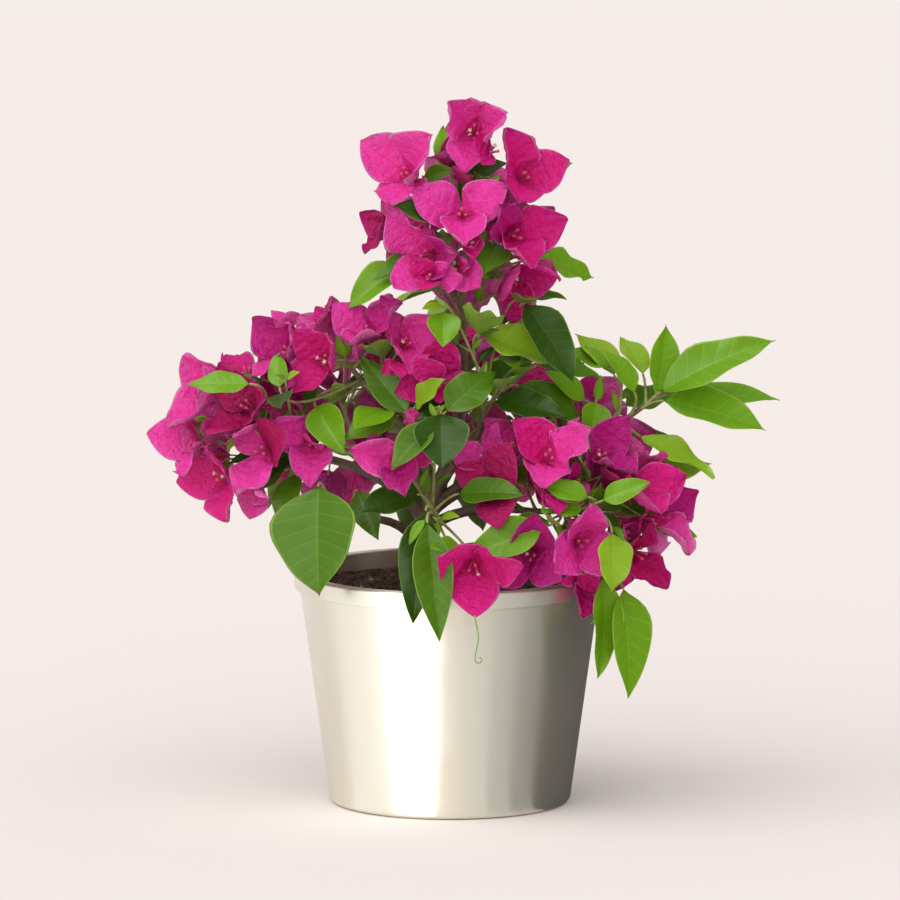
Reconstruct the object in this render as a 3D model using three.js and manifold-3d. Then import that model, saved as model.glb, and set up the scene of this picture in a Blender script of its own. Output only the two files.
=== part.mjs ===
// A bougainvillea bush in its round pot, in millimetres, +Z up.
// The origin is the middle of the pot's underside, and -Y is the side that the bush is looked at from.
// A leaning trunk stands in the soil, twelve boughs leave it, and each carries one mass of blooms and leaves.
import * as THREE from "three";
import { mergeVertices } from "three/addons/utils/BufferGeometryUtils.js";
import Module from "manifold-3d";

const wasm = await Module();
wasm.setup();

// ---- driving dimensions ----

const gap = 0.3; // between pieces that touch

const pot = {
  height: 157,
  footRadius: 81,
  shoulderRadius: 101, // under the collar
  collarRadius: 105,
  collarHeight: 12,
  rimWidth: 9,
  wall: 5,
  floor: 6,
  footEdge: 3, // rounding of the bottom corner
  segments: 40,
};

const soil = { top: 145, crown: 0.6 };

const trunk = {
  foot: [-24, 6],
  knee: [-24, 6, 178], // the trunk rises straight to the knee's height before it leans
  top: [-8, 4, 214],
  girth: [6.4, 5.2], // radius above the flare, and at the fork
  flare: 3.4, // what the root flare adds at the soil
};

// Each bough leaves the trunk at a share of its length and ends at its tip; girth is its radius at both ends.
const boughs = {
  top: { at: 1, tip: [8, 5, 322], girth: [4.9, 3.0] },
  shoulder: { at: 0.93, tip: [-52, -12, 280], girth: [3.8, 2.4] },
  left: { at: 0.66, tip: [-88, -14, 236], girth: [4.0, 2.6] },
  apron: { at: 0.42, tip: [-62, -42, 198], girth: [3.4, 2.2] },
  front: { at: 0.34, tip: [-12, -56, 205], girth: [3.4, 2.2] },
  middle: { at: 0.86, tip: [16, -22, 248], girth: [3.6, 2.2] },
  right: { at: 0.56, tip: [46, -26, 202], girth: [4.0, 2.6] },
  hang: { at: 0.2, tip: [84, -58, 172], girth: [3.2, 2.0] },
  shoot: { at: 0.78, tip: [76, 0, 242], girth: [3.8, 2.4] },
  back_left: { at: 0.84, tip: [-46, 42, 226], girth: [3.8, 2.4] },
  back_right: { at: 0.7, tip: [38, 46, 212], girth: [3.8, 2.4] },
  back: { at: 0.5, tip: [-4, 60, 212], girth: [3.6, 2.2] },
};

// A mass grows on its bough, round its middle, and its leaves and blooms turn towards facing (turn, rise).
// Turn is measured from +X towards +Y and rise up from level, in degrees.
// A bloom: where it opens, from the mass's middle, its bracts' length, and the way it looks if not outwards.
// A leaf: where it starts, from the mass's middle, the way it points, its length, and its width as a share.
const masses = {
  top: {
    middle: [14, -4, 396],
    facing: [270, 30],
    blooms: [
      [2, 0, 60, 42, 270, 20],
      [-44, -4, 32, 46, 240, 25],
      [36, -2, 30, 40, 300, 30],
      [-6, -32, 8, 42],
      [30, -24, -8, 42],
      [28, -20, -40, 40, 300, -20],
      [-30, -22, -22, 44, 235, 0],
      [-58, 4, -8, 26],
      [-4, 32, 10, 42, 90, 20],
      [30, 28, -16, 40, 60, 10],
      [-34, 28, -12, 42, 130, 10],
      [0, 30, -42, 42, 90, -20],
    ],
    leaves: [
      [-46, -6, -32, 195, -28, 46, 0.55],
      [-14, 16, 30, 100, 50, 40, 0.5],
      [46, 18, -30, 30, -10, 50, 0.5],
      [-20, 26, -50, 140, -15, 50, 0.5],
      [20, 36, -56, 80, -20, 50, 0.5],
    ],
  },
  shoulder: {
    middle: [-70, -14, 302],
    facing: [260, 40],
    blooms: [
      [-40, -2, 6, 38],
      [-14, -24, 4, 38],
      [14, -8, 20, 38],
      [40, -14, 14, 38],
      [-8, 26, 4, 40, 110, 20],
      [28, 28, 0, 40, 80, 20],
    ],
    leaves: [
      [42, -34, -32, 150, 45, 54, 0.42],
      [-20, -26, -28, 300, -35, 42, 0.6],
      [34, -30, -34, 205, -15, 40, 0.65],
      [-44, -34, -14, 110, 70, 26, 0.6],
      [0, 30, -28, 120, -20, 50, 0.5],
    ],
  },
  left: {
    middle: [-134, -20, 252],
    facing: [250, 30],
    blooms: [
      [-28, 2, 26, 42],
      [-2, -20, 22, 40],
      [-40, 2, -4, 40],
      [8, -30, -6, 42],
      [-20, -14, -26, 42],
      [42, -28, -2, 38],
      [26, -6, 24, 36],
      [-10, 36, 8, 42, 120, 10],
      [-24, 28, -20, 40, 160, 0],
      [24, 42, 4, 40, 80, 20],
    ],
    leaves: [
      [8, -4, 38, 178, 3, 50, 0.5],
      [30, -20, -24, 250, -40, 44, 0.5],
      [-6, 44, 20, 120, 5, 46, 0.5],
    ],
  },
  apron: {
    middle: [-86, -74, 196],
    facing: [265, 35],
    blooms: [],
    leaves: [
      [-2, 6, 28, 264, -70, 74, 0.84],
      [24, 22, 22, 300, -45, 40, 0.5],
    ],
  },
  front: {
    middle: [-8, -88, 205],
    facing: [270, 40],
    blooms: [
      [-26, 6, 38, 36, 265, 10],
      [24, -22, -30, 44, 275, -25],
    ],
    leaves: [
      [2, 6, 70, 285, -62, 48, 0.95],
      [-8, -16, 8, 268, -80, 92, 0.38],
      [-14, 16, 14, 200, -10, 44, 0.55],
      [14, 20, 14, 330, 10, 48, 0.5],
      [8, 14, -20, 300, -30, 36, 0.5],
    ],
  },
  middle: {
    middle: [22, -36, 292],
    facing: [270, 45],
    blooms: [[-30, -4, 2, 38, 255, 10]],
    leaves: [
      [-26, -6, 46, 268, -74, 40, 0.85],
      [0, 0, 30, 350, -18, 54, 0.6],
      [28, 4, 50, 322, -42, 64, 0.5],
      [8, -6, -14, 340, -5, 52, 0.5],
      [-12, -12, -8, 210, -15, 40, 0.5],
      [24, 10, -6, 10, -25, 56, 0.5],
      [34, 0, 12, 5, -5, 48, 0.45],
      [-10, 30, -16, 110, -15, 52, 0.5],
    ],
  },
  right: {
    middle: [92, -56, 208],
    facing: [285, 25],
    blooms: [
      [-64, -16, 18, 40],
      [-26, -18, 38, 42],
      [8, 2, 36, 40],
      [34, -6, 12, 40],
      [50, 14, -8, 38],
      [36, -4, -30, 40],
      [-4, -26, -20, 40],
      [-38, -28, -28, 40],
      [2, -8, -46, 34],
      [-50, 10, 38, 36],
      [10, 56, 8, 42, 70, 20],
      [38, 48, -14, 40, 40, 10],
    ],
    leaves: [
      [-30, -34, -8, 188, -12, 62, 0.5],
      [0, -32, 12, 195, 20, 34, 0.5],
      [10, -34, 10, 350, 25, 34, 0.5],
      [16, -34, -12, 285, -74, 42, 0.65],
      [40, 40, 16, 20, 10, 50, 0.45],
    ],
  },
  hang: {
    middle: [98, -70, 142],
    facing: [300, 20],
    blooms: [],
    leaves: [
      [4, 0, 22, 290, -76, 70, 0.36],
      [18, 6, 12, 300, -76, 74, 0.5],
      [-18, 10, 30, 240, -20, 32, 0.55],
    ],
  },
  shoot: {
    middle: [138, 4, 274],
    facing: [275, 35],
    blooms: [],
    leaves: [
      [2, 0, 4, 60, 70, 48, 0.5],
      [4, -4, 4, 345, 34, 86, 0.36],
      [6, -4, -2, 350, -8, 72, 0.5],
      [20, 10, 2, 5, -3, 66, 0.3],
      [-14, -6, 4, 150, 50, 42, 0.55],
      [-30, 0, 20, 165, 20, 40, 0.5],
      [-40, -10, -2, 262, -50, 38, 0.6],
      [-10, -4, -26, 335, -20, 60, 0.4],
      [-8, 12, 14, 110, 40, 44, 0.45],
      [-20, 14, -8, 40, 10, 50, 0.45],
    ],
  },
  back_left: {
    middle: [-74, 78, 262],
    facing: [110, 35],
    blooms: [
      [-30, 10, 14, 44],
      [10, 14, 26, 42],
      [-10, 34, 4, 44],
      [-46, -4, -12, 42],
      [20, 34, -22, 42],
      [-24, 26, -34, 42],
    ],
    leaves: [
      [0, 0, 30, 120, 30, 50, 0.5],
      [-34, 20, -4, 170, 0, 56, 0.5],
      [10, 40, -6, 90, -10, 56, 0.5],
      [-20, 10, -40, 150, -40, 52, 0.5],
      [24, 20, 16, 60, 30, 48, 0.5],
    ],
  },
  back_right: {
    middle: [66, 82, 234],
    facing: [70, 35],
    blooms: [
      [24, 10, 16, 44],
      [-14, 20, 20, 42],
      [12, 36, 2, 44],
      [44, 0, -6, 42],
      [-16, 34, -24, 42],
      [26, 22, -34, 42],
    ],
    leaves: [
      [0, 0, 26, 60, 35, 50, 0.5],
      [36, 20, -4, 20, 0, 56, 0.5],
      [-10, 40, -6, 100, -10, 56, 0.5],
      [34, 10, -40, 350, -40, 50, 0.5],
      [-24, 20, 16, 120, 30, 48, 0.5],
    ],
  },
  back: {
    middle: [-4, 100, 256],
    facing: [90, 35],
    blooms: [
      [-18, 12, 24, 42],
      [18, 10, 30, 40],
      [0, 30, 0, 42],
      [-26, 16, -14, 40],
      [28, 20, -18, 40],
    ],
    leaves: [
      [0, 0, 40, 90, 45, 50, 0.5],
      [-30, 10, 4, 150, -20, 56, 0.5],
      [30, 10, 2, 40, -10, 56, 0.5],
      [-14, 10, -44, 120, -60, 56, 0.5],
      [16, 10, -44, 70, -55, 56, 0.5],
      [0, -40, 40, 60, 50, 50, 0.5],
      [-20, -50, 20, 160, 20, 50, 0.5],
    ],
  },
};

const twig = {
  stemGirth: [2.2, 1.7], // radius of a mass's own stem at both ends
  girth: [1.0, 0.8],
  sides: 3,
  steps: 2,
  tip: 1.6, // length of the tip that a bloom's bracts grow out of
  stalk: 9, // bare stalk under a leaf
  leafEvery: 26, // length of twig to each leaf that grows on its side
  stalkGirth: [0.3, 0.6],
  sideLeaf: [34, 52],
};

// A blade is a leaf or a bract. At the share s of its length its width is
// sin(pi * s ** swell) ** round of the full width, and the claw narrows its foot further.
const blades = {
  leaf: { swell: 0.72, round: 0.9, claw: 0.06, stations: [0.22, 0.58], arch: [5, 30], fold: [0.1, 0.3], twist: 15 },
  bract: { swell: 0.74, round: 0.7, claw: 0.16, stations: [0.26, 0.62], arch: [-25, 25], fold: [-0.1, 0.12], twist: 12 },
};
const thickness = 0.022; // of a blade's length
const bloomOpening = [38, 56]; // degrees between a bract and the way its bloom looks
const bractWidth = [0.78, 0.9];
const tries = 12;
const clearance = 0.6; // kept between a blade and the limbs and other masses

// ---- directions and curves ----

const up = new THREE.Vector3(0, 0, 1);
const vector = (p) => new THREE.Vector3(...p);

function heading(turn, rise) {
  const t = THREE.MathUtils.degToRad(turn);
  const r = THREE.MathUtils.degToRad(rise);
  return new THREE.Vector3(Math.cos(r) * Math.cos(t), Math.cos(r) * Math.sin(t), Math.sin(r));
}

// Repeatable dice, so the bush grows the same way each time.
function dice(...marks) {
  let state = 20261;
  const roll = (low = 0, high = 1) => {
    state = (state * 1664525 + 1013904223) % 4294967296;
    return low + ((high - low) * state) / 4294967296;
  };
  for (const mark of marks) state = (state * 69069 + mark * 2654435 + 1) % 4294967296;
  for (let i = 0; i < 3; i++) roll();
  return roll;
}

const between = (roll, [low, high]) => roll(low, high);
const range = (count) => [...Array(count).keys()];

// A limb's curve: it leaves start along way and ends at end.
function limbCurve(start, way, end, lead) {
  const control = start.clone().addScaledVector(way, start.distanceTo(end) * lead);
  return new THREE.QuadraticBezierCurve3(start, control, end);
}

// The curve of a limb that runs on from the end of another.
function onward(curve, end, lead) {
  const way = curve.getTangent(1);
  return limbCurve(curve.v2.clone().addScaledVector(way, gap), way, end, lead);
}

// A direction tilted from axis and rolled round it; a roll of 90 degrees leans upwards.
function swung(axis, tilt, turn) {
  const side = axis.clone().cross(up);
  if (side.length() < 0.2) side.copy(axis).cross(new THREE.Vector3(1, 0, 0));
  side.normalize();
  const other = side.clone().cross(axis);
  const t = THREE.MathUtils.degToRad(tilt);
  const r = THREE.MathUtils.degToRad(turn);
  return axis
    .clone()
    .multiplyScalar(Math.cos(t))
    .addScaledVector(side, Math.cos(r) * Math.sin(t))
    .addScaledVector(other, Math.sin(r) * Math.sin(t))
    .normalize();
}

// ---- solids ----

function solidOf(geometry) {
  geometry.deleteAttribute("normal");
  geometry.deleteAttribute("uv");
  const merged = mergeVertices(geometry, 1e-4);
  return new wasm.Manifold(
    new wasm.Mesh({
      numProp: 3,
      vertProperties: merged.attributes.position.array,
      triVerts: new Uint32Array(merged.index.array),
    }),
  );
}

function geometryOf(solid) {
  const { numProp, numVert, vertProperties, triVerts } = solid.getMesh();
  const places = new Float32Array(numVert * 3);
  for (let i = 0; i < numVert; i++) {
    places.set(vertProperties.subarray(i * numProp, i * numProp + 3), i * 3);
  }
  const geometry = new THREE.BufferGeometry();
  geometry.setAttribute("position", new THREE.BufferAttribute(places, 3));
  geometry.setIndex(new THREE.BufferAttribute(triVerts, 1));
  geometry.computeVertexNormals();
  return geometry;
}

// A limb: a cylinder bent along a curve, its radius given by girth at each share of the curve.
function limb(curve, girth, sides, steps) {
  const geometry = new THREE.CylinderGeometry(1, 1, 1, sides, steps);
  const places = geometry.attributes.position;
  const [start, control, end] = [curve.v0, curve.v1, curve.v2];
  const bend = control.clone().sub(start).cross(end.clone().sub(control));
  const side = bend.length() > 1e-3 ? bend.normalize() : swung(end.clone().sub(start).normalize(), 90, 0);
  for (let i = 0; i < places.count; i++) {
    const share = places.getY(i) + 0.5;
    const way = curve.getTangent(share);
    const other = side.clone().cross(way);
    const radius = girth(share);
    const place = curve
      .getPoint(share)
      .addScaledVector(side, places.getX(i) * radius)
      .addScaledVector(other, places.getZ(i) * radius);
    places.setXYZ(i, place.x, place.y, place.z);
  }
  return solidOf(geometry);
}

// The middle of a limb made in so many straight steps.
function onLimb(curve, share, steps) {
  const step = Math.min(Math.floor(share * steps), steps - 1);
  const [from, to] = [curve.getPoint(step / steps), curve.getPoint((step + 1) / steps)];
  return from.lerp(to, share * steps - step);
}

const taper = ([low, high], more = 0) => (share) => low + (high - low) * share + more;

// The four points round a blade at each of its stations (left, top, right, bottom), and its tip.
// A blade is a thin arched leaf or bract, thickest at its midrib, with its sides folded towards its face.
function bladeRings({ kind, root, along, face, length, width, arch, fold, twist }, more = 0) {
  const { swell, round, claw, stations } = blades[kind];
  const across = along.clone().cross(face).normalize();
  const upper = across.clone().cross(along);
  const bend = THREE.MathUtils.degToRad(arch);
  const turn = THREE.MathUtils.degToRad(twist);
  const lift = (length * thickness) / 2 + more;
  const spine = (s) => {
    const run = Math.abs(bend) < 1e-3 ? s : Math.sin(bend * s) / bend;
    const drop = Math.abs(bend) < 1e-3 ? 0 : (1 - Math.cos(bend * s)) / bend;
    return root.clone().addScaledVector(along, length * run).addScaledVector(upper, -length * drop);
  };
  const rings = stations.map((s) => {
    const half = (width / 2) * Math.sin(Math.PI * s ** swell) ** round * (1 - Math.exp(-s / claw));
    const sideways = across.clone().applyAxisAngle(along, turn * s);
    const normal = upper
      .clone()
      .multiplyScalar(Math.cos(bend * s))
      .addScaledVector(along, Math.sin(bend * s))
      .applyAxisAngle(along, turn * s);
    const rib = spine(s);
    const edge = (side) =>
      rib.clone().addScaledVector(sideways, side * (half + more)).addScaledVector(normal, fold * half);
    const left = edge(-1);
    const right = edge(1);
    return [left, rib.clone().addScaledVector(normal, lift), right, rib.clone().addScaledVector(normal, -lift)];
  });
  return { rings, tip: spine(1) };
}

// Collects the points and faces of one closed skin.
class Skin {
  points = [];
  faces = [];

  add(points) {
    points.forEach((point) => this.points.push(...point.toArray()));
    return points.map((_, k) => this.points.length / 3 - points.length + k);
  }

  face(a, b, c) {
    if (a !== b && b !== c && c !== a) this.faces.push(a, b, c);
  }

  bridge(from, to) {
    from.forEach((a, k) => {
      const b = from[(k + 1) % from.length];
      const d = to[(k + 1) % to.length];
      this.face(a, b, to[k]);
      this.face(b, d, to[k]);
    });
  }

  close(ring, point) {
    ring.forEach((a, k) => this.face(a, ring[(k + 1) % ring.length], point));
  }

  // Joins the four corners of a foot to a blade's first ring, whose points lie between the corners.
  flare(foot, ring) {
    foot.forEach((a, k) => {
      const b = foot[(k + 1) % 4];
      this.face(a, b, ring[(k + 1) % 4]);
      this.face(b, ring[(k + 2) % 4], ring[(k + 1) % 4]);
    });
  }

  // Joins two rings of a blade, with the same diagonals above and below, so the thin sheet can't cross itself.
  lengthen(from, to) {
    from.forEach((a, k) => {
      const b = from[(k + 1) % 4];
      const d = to[(k + 1) % 4];
      if (k % 2) {
        this.face(a, b, d);
        this.face(a, d, to[k]);
      } else {
        this.face(a, b, to[k]);
        this.face(b, d, to[k]);
      }
    });
  }

  // Grows a blade from its first ring to its tip.
  grow(first, { rings, tip }) {
    let last = first;
    for (const ring of rings.slice(1)) {
      const next = this.add(ring);
      this.lengthen(last, next);
      last = next;
    }
    this.close(last, this.add([tip])[0]);
  }

  // Grows a blade out of the four corners of a foot: upper left, upper right, lower right, lower left.
  sprout(foot, blade) {
    const first = this.add(blade.rings[0]);
    this.flare(foot, first);
    this.grow(first, blade);
  }

  solid() {
    const vertProperties = new Float32Array(this.points);
    return new wasm.Manifold(new wasm.Mesh({ numProp: 3, vertProperties, triVerts: new Uint32Array(this.faces) }));
  }
}

// A blade by itself, for trying out a place; more makes it roomier all round.
function bladeSolid(spec, more = 0) {
  const skin = new Skin();
  const blade = bladeRings(spec, more);
  const start = skin.add([spec.root])[0];
  const first = skin.add(blade.rings[0]);
  [...first].reverse().forEach((a, k, ring) => skin.face(a, ring[(k + 1) % ring.length], start));
  skin.grow(first, blade);
  return skin.solid();
}

// The three corners round a twig at each of its steps; side is where the first one lies at the twig's end.
function twigRings(curve, girth, side, steps) {
  const rings = [];
  let out = side.clone();
  for (let i = steps; i >= 0; i--) {
    const way = curve.getTangent(i / steps);
    out = out.clone().addScaledVector(way, -out.dot(way)).normalize();
    rings.unshift(
      [0, 120, 240].map((angle) =>
        out
          .clone()
          .applyAxisAngle(way, THREE.MathUtils.degToRad(angle))
          .multiplyScalar(girth(i / steps))
          .add(curve.getPoint(i / steps)),
      ),
    );
  }
  return rings;
}

// Lays a twig's skin up to its open end, and returns the corners there.
function startTwig(skin, rings) {
  const [first, ...rest] = rings.map((ring) => skin.add(ring));
  skin.face(first[0], first[2], first[1]);
  return rest.reduce((last, next) => {
    skin.bridge(last, next);
    return next;
  }, first);
}

// A twig with one leaf that runs on from its end.
function leafyTwig(curve, girth, steps, leaf) {
  const skin = new Skin();
  const across = leaf.along.clone().cross(leaf.face).normalize();
  const upper = across.clone().cross(leaf.along);
  const side = upper.multiplyScalar(0.5).addScaledVector(across, -0.87);
  const [left, right, below] = startTwig(skin, twigRings(curve, girth, side, steps));
  skin.sprout([left, right, below, below], bladeRings(leaf));
  return skin.solid();
}

// A twig with three bracts that grow out of the sides of its tip; a bract that found no room is null.
function bloomingTwig(curve, girth, steps, side, bracts) {
  const skin = new Skin();
  const rings = twigRings(curve, girth, side, steps);
  const low = startTwig(skin, rings);
  const look = curve.getTangent(1);
  const top = skin.add(rings[steps].map((point) => point.clone().addScaledVector(look, twig.tip)));
  skin.face(...top);
  bracts.forEach((bract, k) => {
    const next = (k + 1) % 3;
    if (bract) {
      skin.sprout([top[next], top[k], low[k], low[next]], bladeRings(bract));
    } else {
      skin.face(low[k], low[next], top[k]);
      skin.face(low[next], top[next], top[k]);
    }
  });
  return skin.solid();
}

function lathe(profile) {
  const points = profile.map(([radius, height]) => new THREE.Vector2(radius, height));
  const geometry = new THREE.LatheGeometry(points, pot.segments);
  geometry.rotateX(Math.PI / 2);
  return solidOf(geometry);
}

// ---- pot and soil ----

// The wall's outer radius at a height, from the foot to under the collar.
function wallRadius(height) {
  const share = height / (pot.height - pot.collarHeight);
  return pot.footRadius + (pot.shoulderRadius - pot.footRadius) * share;
}

function potSolid() {
  const { height, collarRadius, collarHeight, rimWidth, wall, floor, footEdge } = pot;
  const collar = height - collarHeight;
  const edge = 1;
  return lathe([
    [0, 0],
    [wallRadius(0) - footEdge, 0],
    [wallRadius(0) - footEdge * 0.3, footEdge * 0.3],
    [wallRadius(footEdge), footEdge],
    [wallRadius(collar), collar],
    [collarRadius, collar + edge],
    [collarRadius, height - edge],
    [collarRadius - edge, height],
    [collarRadius - rimWidth, height],
    [wallRadius(collar) - wall, collar],
    [wallRadius(floor) - wall, floor],
    [0, floor],
  ]);
}

function soilSolid() {
  const { wall, floor, collarHeight, height } = pot;
  const room = (z) => wallRadius(Math.min(z, height - collarHeight)) - wall - gap;
  return lathe([
    [0, floor + gap],
    [room(floor + gap), floor + gap],
    [room(soil.top) - soil.crown, soil.top - soil.crown],
    [room(soil.top) * 0.9, soil.top],
    [0, soil.top],
  ]);
}

// ---- trunk and boughs ----

const trunkCurve = new THREE.QuadraticBezierCurve3(
  new THREE.Vector3(...trunk.foot, soil.top + gap),
  vector(trunk.knee),
  vector(trunk.top),
);

const trunkGirth = (share) => taper(trunk.girth)(share) + trunk.flare * Math.exp(-7 * share);

function boughCurve({ at, tip }) {
  const end = vector(tip);
  if (at === 1) return onward(trunkCurve, end, 0.45);
  const start = trunkCurve.getPoint(at);
  const lean = end.clone().sub(start).normalize().addScaledVector(trunkCurve.getTangent(at), 0.5).normalize();
  return limbCurve(start, lean, end, 0.5);
}

const trunkSolid = limb(trunkCurve, trunkGirth, 10, 8);
const limbRooms = [limb(trunkCurve, (share) => trunkGirth(share) + gap, 10, 8)];

// A bough is cut clear of the trunk and of the boughs before it; the first runs on from the trunk's end.
function boughSolid({ at, girth }, curve) {
  const whole = limb(curve, taper(girth), 6, 7);
  const solid = at === 1 ? whole : largest(limbRooms.reduce((left, room) => left.subtract(room), whole));
  limbRooms.push(limb(curve, taper(girth, gap), 6, 7));
  return solid;
}

function largest(solid) {
  const bodies = solid.decompose();
  return bodies.reduce((best, body) => (body.volume() > best.volume() ? body : best));
}

// ---- masses of blooms and leaves ----

// What already stands: { solid, box, owner, organ }.
const standing = [];

function stand(solid, owner, organ) {
  standing.push({ solid, box: solid.boundingBox(), owner, organ });
}

const apart = (a, b) => [0, 1, 2].some((i) => a.min[i] > b.max[i] || b.min[i] > a.max[i]);

function touches(solid, pieces) {
  const box = solid.boundingBox();
  return pieces.some((piece) => {
    if (apart(box, piece.box)) return false;
    const common = solid.intersect(piece.solid);
    const empty = common.isEmpty();
    common.delete();
    return !empty;
  });
}

// Grows one mass: its stem from the bough's tip, from that a twig to each bloom and leaf, then the blades.
class Mass {
  constructor(name, index, tip) {
    this.name = name;
    this.index = index;
    this.plan = masses[name];
    this.middle = vector(this.plan.middle);
    this.facing = heading(...this.plan.facing);
    this.stem = onward(tip, this.middle, 0.45);
    this.sprays = [];
    this.starts = [];
    const solid = limb(this.stem, taper(twig.stemGirth), 4, 6);
    this.pieces = [solid];
    stand(solid, name, "stem");
  }

  others() {
    return standing.filter((piece) => piece.owner !== this.name);
  }

  // This mass's own pieces, but for those that a blade grows from or beside.
  own(...kin) {
    return standing.filter((piece) => piece.owner === this.name && !kin.includes(piece.organ));
  }

  // A twig from the stem that arrives at end along way. It starts where it is short and runs forward.
  twigTo(end, way, organ) {
    const starts = range(12).map((k) => {
      const share = 0.1 + k * 0.08;
      const start = onLimb(this.stem, share, 6);
      const span = end.clone().sub(start);
      const forward = span.clone().normalize().dot(this.stem.getTangent(share));
      const crowd = this.starts.filter((other) => Math.abs(other - share) < 0.01).length;
      return { share, start, reach: span.length(), cost: span.length() * (1.35 - 0.6 * forward) + 9 * crowd };
    });
    starts.sort((a, b) => a.cost - b.cost);
    const others = this.others();
    for (const { share, start, reach } of starts.slice(0, 6)) {
      const bend = end.clone().addScaledVector(way, -reach * 0.35);
      const curve = new THREE.QuadraticBezierCurve3(start, bend, end);
      if (touches(limb(curve, taper(twig.girth, clearance), twig.sides, twig.steps), others)) continue;
      stand(limb(curve, taper(twig.girth), twig.sides, twig.steps), this.name, organ);
      this.starts.push(share);
      return curve;
    }
    return null;
  }

  growTwigs() {
    this.plan.blooms.forEach(([x, y, z, size, turn, rise], row) => {
      const offset = new THREE.Vector3(x, y, z);
      const look = turn === undefined ? this.outward(offset) : heading(turn, rise);
      const end = this.middle.clone().add(offset).addScaledVector(look, -size / 4);
      const organ = "bloom" + row;
      const curve = this.twigTo(end, look, organ);
      if (curve) this.sprays.push({ organ, curve, look, size, row });
    });
    this.plan.leaves.forEach(([x, y, z, turn, rise, length, share], row) => {
      const along = heading(turn, rise);
      const end = this.middle.clone().add(new THREE.Vector3(x, y, z));
      const organ = "leaf" + row;
      const curve = this.twigTo(end, along, organ);
      if (curve) this.sprays.push({ organ, curve, along, length, share, row });
    });
  }

  // Away from the plant's axis and from the mass's middle, and towards the side that the mass faces.
  outward(offset) {
    const middle = this.middle.clone().setZ(0).multiplyScalar(0.3);
    return middle.add(offset).normalize().multiplyScalar(0.8).addScaledVector(this.facing, 0.6).normalize();
  }

  growBlades() {
    for (const spray of this.sprays) {
      if (spray.look) this.bloom(spray);
      else this.leaf(spray, twig.girth, twig.steps, [this.index, 2, spray.row]);
    }
  }

  // A blade is turned and shortened step by step until it is clear of everything. Where it never is, it goes
  // where it is clear of all but its own mass, unless it is a spare one.
  settle(spec, marks, organ, spare = false) {
    const others = this.others();
    const own = this.own(organ, spec.kind + organ);
    let second = null;
    for (let k = 0; k < tries; k++) {
      const roll = dice(...marks, k);
      const tried = { ...spec };
      if (k > 0) {
        tried.along = swung(spec.along, roll(0, 5) * k, roll(0, 360));
        tried.length = spec.length * (1 - 0.04 * k);
        tried.width = spec.width * (1 - 0.04 * k);
      }
      if (touches(bladeSolid(tried, clearance), others)) continue;
      if (!spare) second ??= tried;
      if (touches(bladeSolid(tried), own)) continue;
      second = tried;
      break;
    }
    if (second) stand(bladeSolid(second), this.name, spec.kind + organ);
    return second;
  }

  // Three bracts round the way that the bloom looks, spun to where they cross least.
  bloom({ organ, curve, look, size, row }) {
    const bractsAt = (spin) =>
      range(3).map((k) => {
        const roll = dice(this.index, 1, row, k);
        return {
          kind: "bract",
          root: curve.v2.clone().addScaledVector(look, twig.tip / 2),
          along: swung(look, between(roll, bloomOpening), spin - 120 * k + roll(-6, 6)),
          face: look,
          length: size * roll(0.92, 1.06),
          width: size * between(roll, bractWidth),
          arch: between(roll, blades.bract.arch),
          fold: between(roll, blades.bract.fold),
          twist: roll(-blades.bract.twist, blades.bract.twist),
        };
      });
    const first = 30 + dice(this.index, 1, row)(-20, 20);
    const near = [...this.others(), ...this.own(organ)];
    const spins = [0, 20, -20, 40, -40, 60].map((turn) => {
      const specs = bractsAt(first + turn);
      return { spin: first + turn, specs, crossings: specs.filter((spec) => touches(bladeSolid(spec), near)).length };
    });
    spins.sort((a, b) => a.crossings - b.crossings);
    const { spin, specs } = spins[0];
    const bracts = specs.map((spec, k) => this.settle(spec, [this.index, 1, row, k], organ));
    this.pieces.push(bloomingTwig(curve, taper(twig.girth), twig.steps, swung(look, 90, spin + 60), bracts));
  }

  leaf({ organ, curve, along, length, share }, girth, steps, marks, spare = false) {
    const roll = dice(...marks);
    const foot = curve.v2;
    const outward = new THREE.Vector3(foot.x, foot.y, 0).addScaledVector(along, 20).setZ(0).normalize();
    const spec = {
      kind: "leaf",
      root: foot,
      along,
      face: up.clone().multiplyScalar(0.4).addScaledVector(outward, 0.4).addScaledVector(this.facing, 0.8),
      length,
      width: length * share,
      arch: between(roll, blades.leaf.arch),
      fold: between(roll, blades.leaf.fold),
      twist: roll(-blades.leaf.twist, blades.leaf.twist),
    };
    const settled = this.settle(spec, marks, organ, spare);
    if (settled) this.pieces.push(leafyTwig(curve, taper(girth), steps, settled));
  }

  // Leaves on the sides of the twigs, alternately left and right.
  growSideLeaves() {
    this.sprays.forEach(({ organ, curve }, row) => {
      const count = Math.floor(curve.getLength() / twig.leafEvery);
      for (let k = 0; k < count; k++) {
        const roll = dice(this.index, 3, row, k);
        const share = Math.min((k + 0.6 + roll(-0.15, 0.15)) / count, 0.9);
        const start = onLimb(curve, share, twig.steps);
        const along = swung(curve.getTangent(share), roll(50, 75), 180 * k + roll(-40, 40))
          .addScaledVector(this.facing, 0.3)
          .normalize();
        const end = start.clone().addScaledVector(along, twig.stalk);
        const stalk = limbCurve(start, along, end, 0.3);
        const near = [...this.others(), ...this.own(organ)];
        if (touches(limb(stalk, taper(twig.stalkGirth, clearance), twig.sides, 1), near)) continue;
        const size = { length: between(roll, twig.sideLeaf), share: roll(0.48, 0.6) };
        this.leaf({ organ, curve: stalk, along, ...size }, twig.stalkGirth, 1, [this.index, 4, row, k], true);
      }
    });
  }

  solid() {
    return largest(wasm.Manifold.union(this.pieces));
  }
}

// ---- the plant, piece by piece ----

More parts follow.
